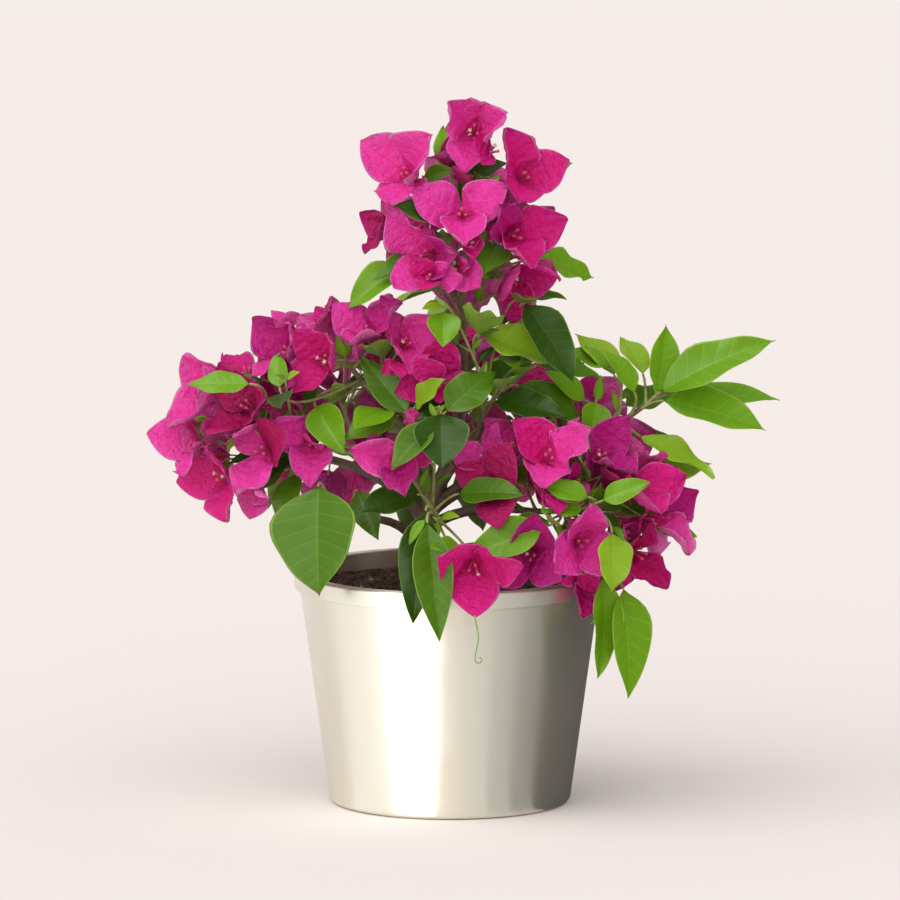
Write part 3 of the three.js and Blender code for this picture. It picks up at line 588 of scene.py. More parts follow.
# A mass grows on its bough, round its middle, and its leaves and blooms turn towards facing (turn, rise).
# A bloom: where it opens, from the middle, its bracts' length, and the way it looks if not outwards.
# A leaf: where it starts, from the middle, the way it points, its length, and its width as a share.
masses = {
    "top": {
        "middle": (14, -4, 396),
        "facing": (270, 30),
        "blooms": [
            (2, 0, 60, 42, 270, 20), (-44, -4, 32, 46, 240, 25), (36, -2, 30, 40, 300, 30),
            (-6, -32, 8, 42), (30, -24, -8, 42), (28, -20, -40, 40, 300, -20),
            (-30, -22, -22, 44, 235, 0), (-58, 4, -8, 26), (-4, 32, 10, 42, 90, 20),
            (30, 28, -16, 40, 60, 10), (-34, 28, -12, 42, 130, 10), (0, 30, -42, 42, 90, -20),
        ],
        "leaves": [
            (-46, -6, -32, 195, -28, 46, 0.55), (-14, 16, 30, 100, 50, 40, 0.5),
            (46, 18, -30, 30, -10, 50, 0.5), (-20, 26, -50, 140, -15, 50, 0.5),
            (20, 36, -56, 80, -20, 50, 0.5),
        ],
    },
    "shoulder": {
        "middle": (-70, -14, 302),
        "facing": (260, 40),
        "blooms": [
            (-40, -2, 6, 38), (-14, -24, 4, 38), (14, -8, 20, 38), (40, -14, 14, 38),
            (-8, 26, 4, 40, 110, 20), (28, 28, 0, 40, 80, 20),
        ],
        "leaves": [
            (42, -34, -32, 150, 45, 54, 0.42), (-20, -26, -28, 300, -35, 42, 0.6),
            (34, -30, -34, 205, -15, 40, 0.65), (-44, -34, -14, 110, 70, 26, 0.6),
            (0, 30, -28, 120, -20, 50, 0.5),
        ],
    },
    "left": {
        "middle": (-134, -20, 252),
        "facing": (250, 30),
        "blooms": [
            (-28, 2, 26, 42), (-2, -20, 22, 40), (-40, 2, -4, 40), (8, -30, -6, 42), (-20, -14, -26, 42),
            (42, -28, -2, 38), (26, -6, 24, 36), (-10, 36, 8, 42, 120, 10), (-24, 28, -20, 40, 160, 0),
            (24, 42, 4, 40, 80, 20),
        ],
        "leaves": [
            (8, -4, 38, 178, 3, 50, 0.5), (30, -20, -24, 250, -40, 44, 0.5),
            (-6, 44, 20, 120, 5, 46, 0.5),
        ],
    },
    "apron": {
        "middle": (-86, -74, 196),
        "facing": (265, 35),
        "blooms": [],
        "leaves": [
            (-2, 6, 28, 264, -70, 74, 0.84), (24, 22, 22, 300, -45, 40, 0.5),
        ],
    },
    "front": {
        "middle": (-8, -88, 205),
        "facing": (270, 40),
        "blooms": [
            (-26, 6, 38, 36, 265, 10), (24, -22, -30, 44, 275, -25),
        ],
        "leaves": [
            (2, 6, 70, 285, -62, 48, 0.95), (-8, -16, 8, 268, -80, 92, 0.38),
            (-14, 16, 14, 200, -10, 44, 0.55), (14, 20, 14, 330, 10, 48, 0.5),
            (8, 14, -20, 300, -30, 36, 0.5),
        ],
    },
    "middle": {
        "middle": (22, -36, 292),
        "facing": (270, 45),
        "blooms": [
            (-30, -4, 2, 38, 255, 10),
        ],
        "leaves": [
            (-26, -6, 46, 268, -74, 40, 0.85), (0, 0, 30, 350, -18, 54, 0.6),
            (28, 4, 50, 322, -42, 64, 0.5), (8, -6, -14, 340, -5, 52, 0.5),
            (-12, -12, -8, 210, -15, 40, 0.5), (24, 10, -6, 10, -25, 56, 0.5),
            (34, 0, 12, 5, -5, 48, 0.45), (-10, 30, -16, 110, -15, 52, 0.5),
        ],
    },
    "right": {
        "middle": (92, -56, 208),
        "facing": (285, 25),
        "blooms": [
            (-64, -16, 18, 40), (-26, -18, 38, 42), (8, 2, 36, 40), (34, -6, 12, 40), (50, 14, -8, 38),
            (36, -4, -30, 40), (-4, -26, -20, 40), (-38, -28, -28, 40), (2, -8, -46, 34),
            (-50, 10, 38, 36), (10, 56, 8, 42, 70, 20), (38, 48, -14, 40, 40, 10),
        ],
        "leaves": [
            (-30, -34, -8, 188, -12, 62, 0.5), (0, -32, 12, 195, 20, 34, 0.5),
            (10, -34, 10, 350, 25, 34, 0.5), (16, -34, -12, 285, -74, 42, 0.65),
            (40, 40, 16, 20, 10, 50, 0.45),
        ],
    },
    "hang": {
        "middle": (98, -70, 142),
        "facing": (300, 20),
        "blooms": [],
        "leaves": [
            (4, 0, 22, 290, -76, 70, 0.36), (18, 6, 12, 300, -76, 74, 0.5),
            (-18, 10, 30, 240, -20, 32, 0.55),
        ],
    },
    "shoot": {
        "middle": (138, 4, 274),
        "facing": (275, 35),
        "blooms": [],
        "leaves": [
            (2, 0, 4, 60, 70, 48, 0.5), (4, -4, 4, 345, 34, 86, 0.36), (6, -4, -2, 350, -8, 72, 0.5),
            (20, 10, 2, 5, -3, 66, 0.3), (-14, -6, 4, 150, 50, 42, 0.55), (-30, 0, 20, 165, 20, 40, 0.5),
            (-40, -10, -2, 262, -50, 38, 0.6), (-10, -4, -26, 335, -20, 60, 0.4),
            (-8, 12, 14, 110, 40, 44, 0.45), (-20, 14, -8, 40, 10, 50, 0.45),
        ],
    },
    "back_left": {
        "middle": (-74, 78, 262),
        "facing": (110, 35),
        "blooms": [
            (-30, 10, 14, 44), (10, 14, 26, 42), (-10, 34, 4, 44), (-46, -4, -12, 42), (20, 34, -22, 42),
            (-24, 26, -34, 42),
        ],
        "leaves": [
            (0, 0, 30, 120, 30, 50, 0.5), (-34, 20, -4, 170, 0, 56, 0.5), (10, 40, -6, 90, -10, 56, 0.5),
            (-20, 10, -40, 150, -40, 52, 0.5), (24, 20, 16, 60, 30, 48, 0.5),
        ],
    },
    "back_right": {
        "middle": (66, 82, 234),
        "facing": (70, 35),
        "blooms": [
            (24, 10, 16, 44), (-14, 20, 20, 42), (12, 36, 2, 44), (44, 0, -6, 42), (-16, 34, -24, 42),
            (26, 22, -34, 42),
        ],
        "leaves": [
            (0, 0, 26, 60, 35, 50, 0.5), (36, 20, -4, 20, 0, 56, 0.5), (-10, 40, -6, 100, -10, 56, 0.5),
            (34, 10, -40, 350, -40, 50, 0.5), (-24, 20, 16, 120, 30, 48, 0.5),
        ],
    },
    "back": {
        "middle": (-4, 100, 256),
        "facing": (90, 35),
        "blooms": [
            (-18, 12, 24, 42), (18, 10, 30, 40), (0, 30, 0, 42), (-26, 16, -14, 40), (28, 20, -18, 40),
        ],
        "leaves": [
            (0, 0, 40, 90, 45, 50, 0.5), (-30, 10, 4, 150, -20, 56, 0.5), (30, 10, 2, 40, -10, 56, 0.5),
            (-14, 10, -44, 120, -60, 56, 0.5), (16, 10, -44, 70, -55, 56, 0.5),
            (0, -40, 40, 60, 50, 50, 0.5), (-20, -50, 20, 160, 20, 50, 0.5),
        ],
    },
}

twig = {
    "stemGirth": (2.2, 1.7),
    "girth": (1.0, 0.8),
    "tip": 1.6,
    "stalk": 9,
    "leafEvery": 26,
    "stalkGirth": (0.3, 0.6),
    "sideLeaf": (34, 52),
    "sideShare": (0.48, 0.6),
    "sideTilt": (50, 75),
    "gap": 0.3,
    "clearance": 0.6,
    "tries": 12,
    "triedStarts": 6,
    "lead": 0.35,
    "jointEvery": 17,
    "joint": 0.12,
    "sideStalk": (0.55, 0.7),
}
blades = {
    "leaf": {
        "swell": 0.72,
        "round": 0.9,
        "claw": 0.06,
        "stations": (0.22, 0.58),
        "arch": (5, 30),
        "fold": (0.1, 0.3),
        "twist": 15,
    },
    "bract": {
        "swell": 0.74,
        "round": 0.7,
        "claw": 0.16,
        "stations": (0.26, 0.62),
        "arch": (-25, 25),
        "fold": (-0.1, 0.12),
        "twist": 12,
    },
    "thickness": 0.022,
    "opening": (38, 56),
    "bractLength": (0.92, 1.06),
    "bractWidth": (0.78, 0.9),
}


def heading(turn, rise):
    t, r = math.radians(turn), math.radians(rise)
    return Vector((math.cos(r) * math.cos(t), math.cos(r) * math.sin(t), math.sin(r)))


class Curve:
    def __init__(self, start, control, end):
        self.start, self.control, self.end = Vector(start), Vector(control), Vector(end)

    def point(self, s):
        return self.start * (1 - s) ** 2 + self.control * (2 * s * (1 - s)) + self.end * s**2

    def way(self, s):
        return ((self.control - self.start) * (1 - s) + (self.end - self.control) * s).normalized()

    def length(self):
        places = [self.point(k / 80) for k in range(81)]
        return sum((b - a).length for a, b in zip(places, places[1:]))


def limbCurve(start, way, end, lead):
    return Curve(start, start + way * ((end - start).length * lead), end)


def onward(curve, end, lead):
    way = curve.way(1)
    return limbCurve(curve.end + way * twig["gap"], way, end, lead)


# A direction tilted from axis and rolled round it; a roll of 90 degrees leans upwards.
def swung(axis, tilt, turn):
    side = axis.cross(up)
    if side.length < 0.2:
        side = axis.cross(Vector((1, 0, 0)))
    side.normalize()
    other = side.cross(axis)
    t, r = math.radians(tilt), math.radians(turn)
    way = axis * math.cos(t) + side * (math.cos(r) * math.sin(t)) + other * (math.sin(r) * math.sin(t))
    return way.normalized()


def onLimb(curve, share, steps):
    step = min(int(share * steps), steps - 1)
    return curve.point(step / steps).lerp(curve.point((step + 1) / steps), share * steps - step)


def taper(girth, more=0.0):
    return lambda share: girth[0] + (girth[1] - girth[0]) * share + more


# A shape for trying out whether there is room: its box, and its skin for crossings.
class Solid:
    def __init__(self, points, faces, owner=None, organ=None):
        self.low = tuple(min(p[i] for p in points) for i in range(3))
        self.high = tuple(max(p[i] for p in points) for i in range(3))
        self.tree = BVHTree.FromPolygons(points, faces)
        self.owner, self.organ = owner, organ


# The faces of a closed skin over rings of points.
def ringFaces(sides, steps):
    faces = []
    for i in range(steps):
        for k in range(sides):
            a, b = i * sides + k, i * sides + (k + 1) % sides
            faces.append((a, b, b + sides, a + sides))
    return faces + [tuple(reversed(range(sides))), tuple(range(steps * sides, (steps + 1) * sides))]


# The plain skin of a limb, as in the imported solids, for trying out a place.
def tube(curve, girth, sides, steps):
    bend = (curve.control - curve.start).cross(curve.end - curve.control)
    side = bend.normalized() if bend.length > 1e-3 else swung((curve.end - curve.start).normalized(), 90, 0)
    points = []
    for i in range(steps + 1):
        s = i / steps
        other = side.cross(curve.way(s))
        for k in range(sides):
            a = 2 * math.pi * k / sides
            points.append(curve.point(s) + (side * math.sin(a) + other * math.cos(a)) * girth(s))
    return points, ringFaces(sides, steps)


# A blade of one kind: its arch, fold and twist are rolled within the form's ranges, after what is given.
def newBlade(roll, form, **given):
    arch, fold, twist = roll(*form["arch"]), roll(*form["fold"]), roll(-form["twist"], form["twist"])
    return {**given, "arch": arch, "fold": fold, "twist": twist}


def bladeFrame(blade):
    across = blade["along"].cross(blade["face"]).normalized()
    return across, across.cross(blade["along"])


# The few-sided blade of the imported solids, for trying out a place; more makes it roomier all round.
def coarseBlade(blade, more=0.0):
    form = blades[blade["kind"]]
    across, upper = bladeFrame(blade)
    along, length = blade["along"], blade["length"]
    bend, turn = math.radians(blade["arch"]), math.radians(blade["twist"])
    lift = length * blades["thickness"] / 2 + more

    def spine(s):
        run = s if abs(bend) < 1e-3 else math.sin(bend * s) / bend
        drop = 0 if abs(bend) < 1e-3 else (1 - math.cos(bend * s)) / bend
        return blade["root"] + along * (length * run) - upper * (length * drop)

    points = [blade["root"].copy()]
    for s in form["stations"]:
        half = blade["width"] / 2 * math.sin(math.pi * s ** form["swell"]) ** form["round"]
        half *= 1 - math.exp(-s / form["claw"])
        spin = Quaternion(along, turn * s)
        sideways = spin @ across
        normal = spin @ (upper * math.cos(bend * s) + along * math.sin(bend * s))
        rib = spine(s)
        fold = normal * (blade["fold"] * half)
        left, right = (rib + sideways * (side * (half + more)) + fold for side in (-1, 1))
        points += [left, rib + normal * lift, right, rib - normal * lift]
    points.append(spine(1))
    faces = [(0, 1 + (k + 1) % 4, 1 + k) for k in range(4)]
    faces += [(1 + k, 1 + (k + 1) % 4, 5 + (k + 1) % 4) for k in range(4)]
    faces += [(1 + k, 5 + (k + 1) % 4, 5 + k) for k in range(4)]
    faces += [(5 + k, 5 + (k + 1) % 4, 9) for k in range(4)]
    return points, faces


standing = []


def stand(shape, owner, organ=None):
    standing.append(Solid(*shape, owner, organ))


def touches(shape, pieces):
    return meets(Solid(*shape), pieces)


def meets(solid, pieces):
    low, high = solid.low, solid.high
    for piece in pieces:
        if low[0] > piece.high[0] or low[1] > piece.high[1] or low[2] > piece.high[2]:
            continue
        if high[0] < piece.low[0] or high[1] < piece.low[1] or high[2] < piece.low[2]:
            continue
        if solid.tree.overlap(piece.tree):
            return True
    return False


def nodeShape(name):
    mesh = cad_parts[name].data
    return [v.co / mm for v in mesh.vertices], [tuple(p.vertices) for p in mesh.polygons]


trunkCurve = Curve(trunk["foot"], trunk["knee"], trunk["top"])


def trunkGirth(share):
    return taper(trunk["girth"])(share) + trunk["flare"] * math.exp(-trunk["flareFades"] * share)


def boughCurve(plan):
    end = Vector(plan["tip"])
    if plan["at"] == 1:
        return onward(trunkCurve, end, 0.45)
    start = trunkCurve.point(plan["at"])
    lean = ((end - start).normalized() + trunkCurve.way(plan["at"]) * 0.5).normalized()
    return limbCurve(start, lean, end, 0.5)


# Grows one mass: its stem from the bough's tip, from that a twig to each bloom and leaf, then the blades.
class Mass:
    def __init__(self, name, index, tip):
        self.name, self.index, self.plan = name, index, masses[name]
        self.middle = Vector(self.plan["middle"])
        self.facing = heading(*self.plan["facing"])
        self.stem = onward(tip, self.middle, 0.45)
        self.sprays, self.starts, self.leaves, self.blooms, self.stalks = [], [], [], [], []
        self.sideBlooms, self.smallOnes = [], []
        stand(tube(self.stem, taper(twig["stemGirth"]), 4, 6), name, "stem")

    def others(self):
        return [piece for piece in standing if piece.owner != self.name]

    def own(self, *kin):
        return [piece for piece in standing if piece.owner == self.name and piece.organ not in kin]

    # A twig from the stem that arrives at end along way. It starts where it is short and runs forward.
    def twigTo(self, end, way, organ):
        starts = []
        for k in range(12):
            share = 0.1 + k * 0.08
            start = onLimb(self.stem, share, 6)
            span = end - start
            forward = span.normalized().dot(self.stem.way(share))
            crowd = sum(abs(other - share) < 0.01 for other in self.starts)
            starts.append((span.length * (1.35 - 0.6 * forward) + 9 * crowd, share, start, span.length))
        starts.sort(key=lambda choice: choice[0])
        others = self.others()
        for _, share, start, reach in starts[: twig["triedStarts"]]:
            curve = Curve(start, end - way * (reach * twig["lead"]), end)
            if touches(tube(curve, taper(twig["girth"], twig["clearance"]), 3, 2), others):
                continue
            stand(tube(curve, taper(twig["girth"]), 3, 2), self.name, organ)
            self.starts.append(share)
            return curve
        return None

    def growTwigs(self):
        for row, (x, y, z, size, *look) in enumerate(self.plan["blooms"]):
            offset = Vector((x, y, z))
            look = heading(*look) if look else self.outward(offset)
            organ = f"bloom{row}"
            curve = self.twigTo(self.middle + offset - look * (size / 4), look, organ)
            if curve:
                self.sprays.append({"organ": organ, "curve": curve, "look": look, "size": size, "row": row})
        for row, (x, y, z, turn, rise, length, share) in enumerate(self.plan["leaves"]):
            along = heading(turn, rise)
            organ = f"leaf{row}"
            curve = self.twigTo(self.middle + Vector((x, y, z)), along, organ)
            if curve:
                size = {"length": length, "share": share}
                self.sprays.append({"organ": organ, "curve": curve, "along": along, "row": row, **size})

    def outward(self, offset):
        middle = Vector((self.middle.x, self.middle.y, 0)) * 0.3 + offset
        return (middle.normalized() * 0.8 + self.facing * 0.6).normalized()

    def growBlades(self):
        for spray in self.sprays:
            if "look" in spray:
                self.bloom(spray)
            else:
                self.leaf(spray["organ"], spray["curve"], spray, [self.index, draws["leaf"], spray["row"]])

    # A blade is turned and shortened step by step until it is clear of everything.
    def settle(self, blade, marks, organ, spare=False):
        others, own = self.others(), self.own(organ, blade["kind"] + organ)
        second = None
        for k in range(twig["tries"]):
            roll = dice(*marks, k)
            tried = dict(blade)
            if k:
                tilt = roll(0, 5) * k
                tried["along"] = swung(blade["along"], tilt, roll(0, 360))
                tried["length"] = blade["length"] * (1 - 0.04 * k)
                tried["width"] = blade["width"] * (1 - 0.04 * k)
            if touches(coarseBlade(tried, twig["clearance"]), others):
                continue
            if not spare and second is None:
                second = tried
            if touches(coarseBlade(tried), own):
                continue
            second = tried
            break
        if second:
            stand(coarseBlade(second), self.name, blade["kind"] + organ)
        return second

    # Three bracts round the way that the bloom looks.
    def bractsAt(self, curve, look, size, row, spin, branch=1):
        bracts = []
        for k in range(3):
            roll = dice(self.index, branch, row, k)
            opening = roll(*blades["opening"])
            bract = newBlade(
                roll,
                blades["bract"],
                kind="bract",
                root=curve.end + look * (twig["tip"] / 2),
                along=swung(look, opening, spin - 120 * k + roll(-6, 6)),
                face=look,
                length=size * roll(*blades["bractLength"]),
                width=size * roll(*blades["bractWidth"]),
            )
            bracts.append(bract)
        return bracts

    def bloom(self, spray):
        organ, curve, look, size, row = (spray[key] for key in ("organ", "curve", "look", "size", "row"))
        first = 30 + dice(self.index, draws["bloom"], row)(-20, 20)
        near = self.others() + self.own(organ)
        choices = []
        for turn in (0, 20, -20, 40, -40, 60):
            bracts = self.bractsAt(curve, look, size, row, first + turn)
            crossings = sum(touches(coarseBlade(bract), near) for bract in bracts)
            choices.append((crossings, first + turn, bracts))
        _, spin, bracts = min(choices, key=lambda choice: choice[0])
        settled = [self.settle(bract, [self.index, 1, row, k], organ) for k, bract in enumerate(bracts)]
        self.blooms.append({**spray, "spin": spin, "bracts": settled})

    def leaf(self, organ, curve, size, marks, spare=False):
        roll = dice(*marks)
        along = size["along"]
        outward = Vector((curve.end.x, curve.end.y, 0)) + along * 20
        outward.z = 0
        blade = newBlade(
            roll,
            blades["leaf"],
            kind="leaf",
            root=curve.end,
            along=along,
            face=up * 0.4 + outward.normalized() * 0.4 + self.facing * 0.8,
            length=size["length"],
            width=size["length"] * size["share"],
        )
        settled = self.settle(blade, marks, organ, spare)
        if settled:
            self.leaves.append({"blade": settled, "marks": marks, "shade": size.get("shade")})
            if spare:
                self.stalks.append(curve)

    # Leaves on the sides of the twigs, alternately left and right.
    def growSideLeaves(self):
        for row, spray in enumerate(self.sprays):
            curve = spray["curve"]
            count = int(curve.length() / twig["leafEvery"])
            for k in range(count):
                roll = dice(self.index, draws["sideLeafSpot"], row, k)
                share = min((k + 0.6 + roll(-0.15, 0.15)) / count, 0.9)
                start = onLimb(curve, share, 2)
                tilt = roll(*twig["sideTilt"])
                along = swung(curve.way(share), tilt, 180 * k + roll(-40, 40))
                along = (along + self.facing * 0.3).normalized()
                stalk = limbCurve(start, along, start + along * twig["stalk"], 0.3)
                near = self.others() + self.own(spray["organ"])
                if touches(tube(stalk, taper(twig["stalkGirth"], twig["clearance"]), 3, 1), near):
                    continue
                size = {"along": along, "length": roll(*twig["sideLeaf"]), "share": roll(*twig["sideShare"])}
                self.leaf(spray["organ"], stalk, size, [self.index, draws["sideLeaf"], row, k], True)

    # Whether a shape keeps to the box of this mass's own solid and out of the clearings.
    def within(self, points):
        low, high = (Vector(corner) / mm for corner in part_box("foliage_" + self.name))
        inside = all(low[i] - boxSlack < p[i] < high[i] + boxSlack for p in points for i in range(3))
        return inside and not inClearing(points)

    # Smaller blooms on stalks of their own beside each bloom, where they have room.
    def growSideBlooms(self):
        for bloom in list(self.blooms):
            row, curve = bloom["row"], bloom["curve"]
            for k, share in enumerate(sideBlooms["shares"]):
                roll = dice(self.index, draws["sideBloomSpot"], row, k)
                start = curve.point(share)
                swing, turn = roll(*sideBlooms["swing"]), sideBlooms["turns"][k] + roll(-35, 35)
                way = swung(curve.way(share), swing, turn)
                look = (way + bloom["look"] * 0.5 + self.facing * 0.2).normalized()
                size = bloom["size"] * roll(*sideBlooms["size"])
                end = start + (way + look).normalized() * roll(*sideBlooms["stalk"])
                stalk = limbCurve(start, way, end, 0.4)
                organ = f"side{row}.{k}"
                host = bloom["organ"]
                near = self.others() + self.own(host, "bract" + host, "leaf" + host)
                if touches(tube(stalk, taper(sideBlooms["room"]), 3, 1), near):
                    continue
                spin, branch = roll(0, 120), draws["sideBloom"] + k
                bracts = self.bractsAt(stalk, look, size, row, spin, branch)
                settled = []
                for j, bract in enumerate(bracts):
                    bract = self.settle(bract, [self.index, branch, row, j], organ, True)
                    settled.append(bract if bract and self.within(coarseBlade(bract)[0]) else None)
                if sum(bract is not None for bract in settled) < sideBlooms["fewest"]:
                    continue
                made = {"curve": stalk, "look": look, "size": size, "row": row, "organ": organ}
                self.sideBlooms.append({**made, "spin": spin, "branch": branch, "bracts": settled})

    # Leaves and young shoots in front of the blooms, grown once the solids' own have their places.
    def growExtras(self):
        plan = extras.get(self.name, {})
        for row, (x, y, z, turn, rise, length, share, shade) in enumerate(plan.get("leaves", [])):
            along, organ = heading(turn, rise), f"late{row}"
            curve = self.twigTo(self.middle + Vector((x, y, z)), along, organ)
            if curve:
                size = {"along": along, "length": length, "share": share, "shade": shade}
                self.leaf(organ, curve, size, [self.index, draws["lateLeaf"], row])
                self.sprays.append({"organ": organ, "curve": curve})
        for row, (x, y, z, turn, rise) in enumerate(plan.get("shoots", [])):
            organ = f"young{row}"
            curve = self.twigTo(self.middle + Vector((x, y, z)), heading(turn, rise), organ)
            if curve:
                self.sprays.append({"organ": organ, "curve": curve})
                self.crownTip(curve, 1 + row, organ)

    # Small young leaves along the twigs and at the end of the stem.
    def growSmallLeaves(self):
        for row, spray in enumerate(self.sprays):
            curve = spray["curve"]
            count = int(curve.length() / smallLeaves["every"])
            for k in range(count):
                marks = [self.index, draws["smallLeaf"], row, k]
                self.smallLeaf(curve, (k + 0.5) / count, 180 * k + 90, marks, spray["organ"])
        self.crownTip(self.stem, 0, "stem")

    # A ring of young leaves at the end of a stem.
    def crownTip(self, curve, row, organ):
        count = smallLeaves["atTip"]
        for k in range(count):
            marks = [self.index, draws["youngLeaf"], row, k]
            self.smallLeaf(curve, smallLeaves["tipAt"], 360 / count * k, marks, organ)

    def smallLeaf(self, curve, share, turn, marks, organ):
        roll = dice(*marks)
        start = curve.point(share)
        along = (swung(curve.way(share), roll(25, 65), turn + roll(-40, 40)) + self.facing * 0.2).normalized()
        length = roll(*smallLeaves["length"])
        outward = Vector((start.x, start.y, 0)) + along * 20
        blade = newBlade(
            roll,
            smallLeaves,
            kind="leaf",
            root=start + along * smallLeaves["stalk"],
            along=along,
            face=up * 0.4 + outward.normalized() * 0.3 + self.facing * 0.8,
            length=length,
            width=length * roll(*smallLeaves["share"]),
        )
        shape = coarseBlade(blade, smallLeaves["room"])
        if not self.within(shape[0]) or touches(shape, self.others() + self.own(organ, "stem")):
            return
        stand(coarseBlade(blade), self.name, "small")
        self.smallOnes.append({"blade": blade, "marks": marks, "foot": start})


# How far what is grown here may reach past the box of its mass's own solid.
boxSlack = 2

# Sky that shows beside and through the bush from the front, kept free of what is grown here: (x, x, z, z).
clearings = [
    (-36, -5, 446, 478),
    (62, 110, 384, 428),
    (-64, -20, 388, 416),
    (-205, -138, 140, 207),
    (128, 190, 130, 185),
    (-96, -48, 278, 303),
    (-2, 52, 166, 202),
]


def inClearing(points):
    return any(x0 < p[0] < x1 and z0 < p[2] < z1 for p in points for x0, x1, z0, z1 in clearings)


sideBlooms = {
    "shares": (0.4, 0.5, 0.6, 0.7),
    "turns": (0, 180, 270, 90),
    "swing": (55, 85),
    "size": (0.66, 0.9),
    "stalk": (18, 30),
    "girth": (0.75, 0.6),
    "room": (0.8, 0.8),
    "fewest": 2,
}
# Late leaves as in the masses, each with its colour, and young shoots: where they end and the way they point.
extras = {
    "left": {"leaves": [(0, -40, 40, 180, 2, 42, 0.42, "leafBright")], "shoots": [(24, -38, 42, 255, 65)]},
    "shoulder": {"shoots": [(43, -36, -14, 270, 60)]},
    "front": {"leaves": [(-7, -25, 1, 303, -79, 80, 0.34, "leafMid")]},
}
smallLeaves = {
    "room": 1.2,
    "every": 16,
    "atTip": 5,
    "tipAt": 0.99,
    "stalk": 2.5,
    "stalkGirth": (0.35, 0.3),
    "length": (10, 22),
    "share": (0.36, 0.5),
    "arch": (0, 35),
    "fold": (0.15, 0.5),
    "twist": 20,
}

for name in ("pot", "soil", "trunk"):
    stand(nodeShape(name), name)
boughCurves, grown = {}, []
for index, (name, plan) in enumerate(boughs.items()):
    boughCurves[name] = boughCurve(plan)
    stand(nodeShape("bough_" + name), "bough_" + name)
    grown.append(Mass(name, index, boughCurves[name]))
for step in ("Twigs", "Blades", "SideLeaves", "Extras", "SideBlooms", "SmallLeaves"):
    for mass in grown:
        getattr(mass, "grow" + step)()
for grownKind in ("blooms", "sideBlooms", "leaves", "smallOnes"):
    print("growth:", sum(len(getattr(mass, grownKind)) for mass in grown), grownKind)

# The fine sheet of a leaf or a bract. Its veins are shares of its length and its columns shares of half its
# width. The rest, as shares of the length: thickness, rib, bulges between the veins, waves and small folds.
sheetForms = {
    "leaf": {
        "veins": (0.12, 0.24, 0.36, 0.48, 0.6, 0.72, 0.83),
        "veinHalf": 0.0035,
        "columns": (1, 0.94, 0.6, 0.3, 0.024),
        "slant": 0.55,
        "draw": 0.35,
        "rim": True,
        "shadedBase": 0,
        "thick": 0.009,
        "rib": 0.014,
        "quilt": 0.026,
        "wave": (0.016, 0.044),
        "waves": (1.2, 2.6),
        "cup": (-0.05, 0.30),
        "crinkle": 0.004,
    },
    "bract": {
        "veins": (0.16, 0.32, 0.48, 0.64, 0.8),
        "veinHalf": 0.0035,
        "columns": (1, 0.93, 0.74, 0.56, 0.38, 0.2, 0.02),
        "slant": 0.5,
        "draw": 0.28,
        # A paler margin, partly painted highlight.
        "rim": True,
        "shadedBase": 0.2,
        # Up to this share of the length a bract takes its deeper vein colour: painted shade at its base.
        "thick": 0.007,
        "rib": 0.008,
        "quilt": 0.056,
        "wave": (0.045, 0.100),
        "waves": (1.2, 2.3),
        "cup": (0.12, 0.78),
        "crinkle": 0.034,
    },
    "small": {
        "veins": (),
        "veinHalf": 0,
        "columns": (1, 0.5, 0.06),
        "slant": 0.4,
        "draw": 0.3,
        "rim": False,
        "shadedBase": 0,
        "thick": 0.014,
        "rib": 0.01,
        "quilt": 0,
        "wave": (0.01, 0.03),
        "waves": (1.0, 2.0),
        "cup": (0.0, 0.3),
        "crinkle": 0.004,
    },
}

# The first row's share of the length.
firstRow = 0.03


# The rows' shares of the length, how far each bulges between the veins, and the faces with their kinds. Each
# side vein is a narrow row, and the kinds are face, vein, back and rim; the vein kind also stands for painted
# shade at a bract's base, and the rim kind is a paler margin that is partly painted highlight.
def layOut(form):
    half, veins = form["veinHalf"], form["veins"]
    rows = [(firstRow, 0.3, False)]
    for k, vein in enumerate(veins):
        middle = (vein + (veins[k - 1] if k else firstRow)) / 2
        rows += [(middle, 1.0, False), (vein - half, 0.0, True), (vein + half, 0.0, False)]
    if veins:
        rows += [(0.90, 0.7, False), (0.965, 0.2, False)]
    else:
        rows += [(s, 0.5, False) for s in (0.14, 0.32, 0.55, 0.78, 0.93)]
    columns = [-c for c in form["columns"]] + list(reversed(form["columns"]))
    count, wide = len(rows), len(columns)
    tip = 1 + count * wide + count * (wide - 2)

    def top(i, j):
        return 1 + i * wide + j

    def low(i, j):
        return top(i, j) if j in (0, wide - 1) else 1 + count * wide + i * (wide - 2) + j - 1

    # A face takes the rim colour along the margin, partly a painted highlight, and the vein colour on the
    # midrib, on the side veins and up to shadedBase, where it is painted shade.
    def tint(i, j):
        if form["rim"] and j in (0, wide - 2):
            return 3
        return 1 if 2 * j == wide - 2 or rows[i][2] or rows[i][0] < form["shadedBase"] else 0

    faces, kinds, last = [], [], count - 1
    for j in range(wide - 1):
        back = 1 if 2 * j == wide - 2 else 2
        faces += [(0, top(0, j + 1), top(0, j)), (0, low(0, j), low(0, j + 1))]
        faces += [(top(last, j), top(last, j + 1), tip), (low(last, j + 1), low(last, j), tip)]
        kinds += [tint(0, j), back, tint(last, j), back]
        for i in range(last):
            faces.append((top(i, j), top(i, j + 1), top(i + 1, j + 1), top(i + 1, j)))
            faces.append((low(i, j), low(i + 1, j), low(i + 1, j + 1), low(i, j + 1)))
            kinds += [tint(i, j), back]
    u = np.array([row[0] for row in rows])[:, None]
    bulge = np.array([row[1] for row in rows])[:, None]
    return {"u": u, "bulge": bulge, "t": np.array(columns)[None, :], "faces": faces, "kinds": kinds}


layouts = {name: layOut(form) for name, form in sheetForms.items()}


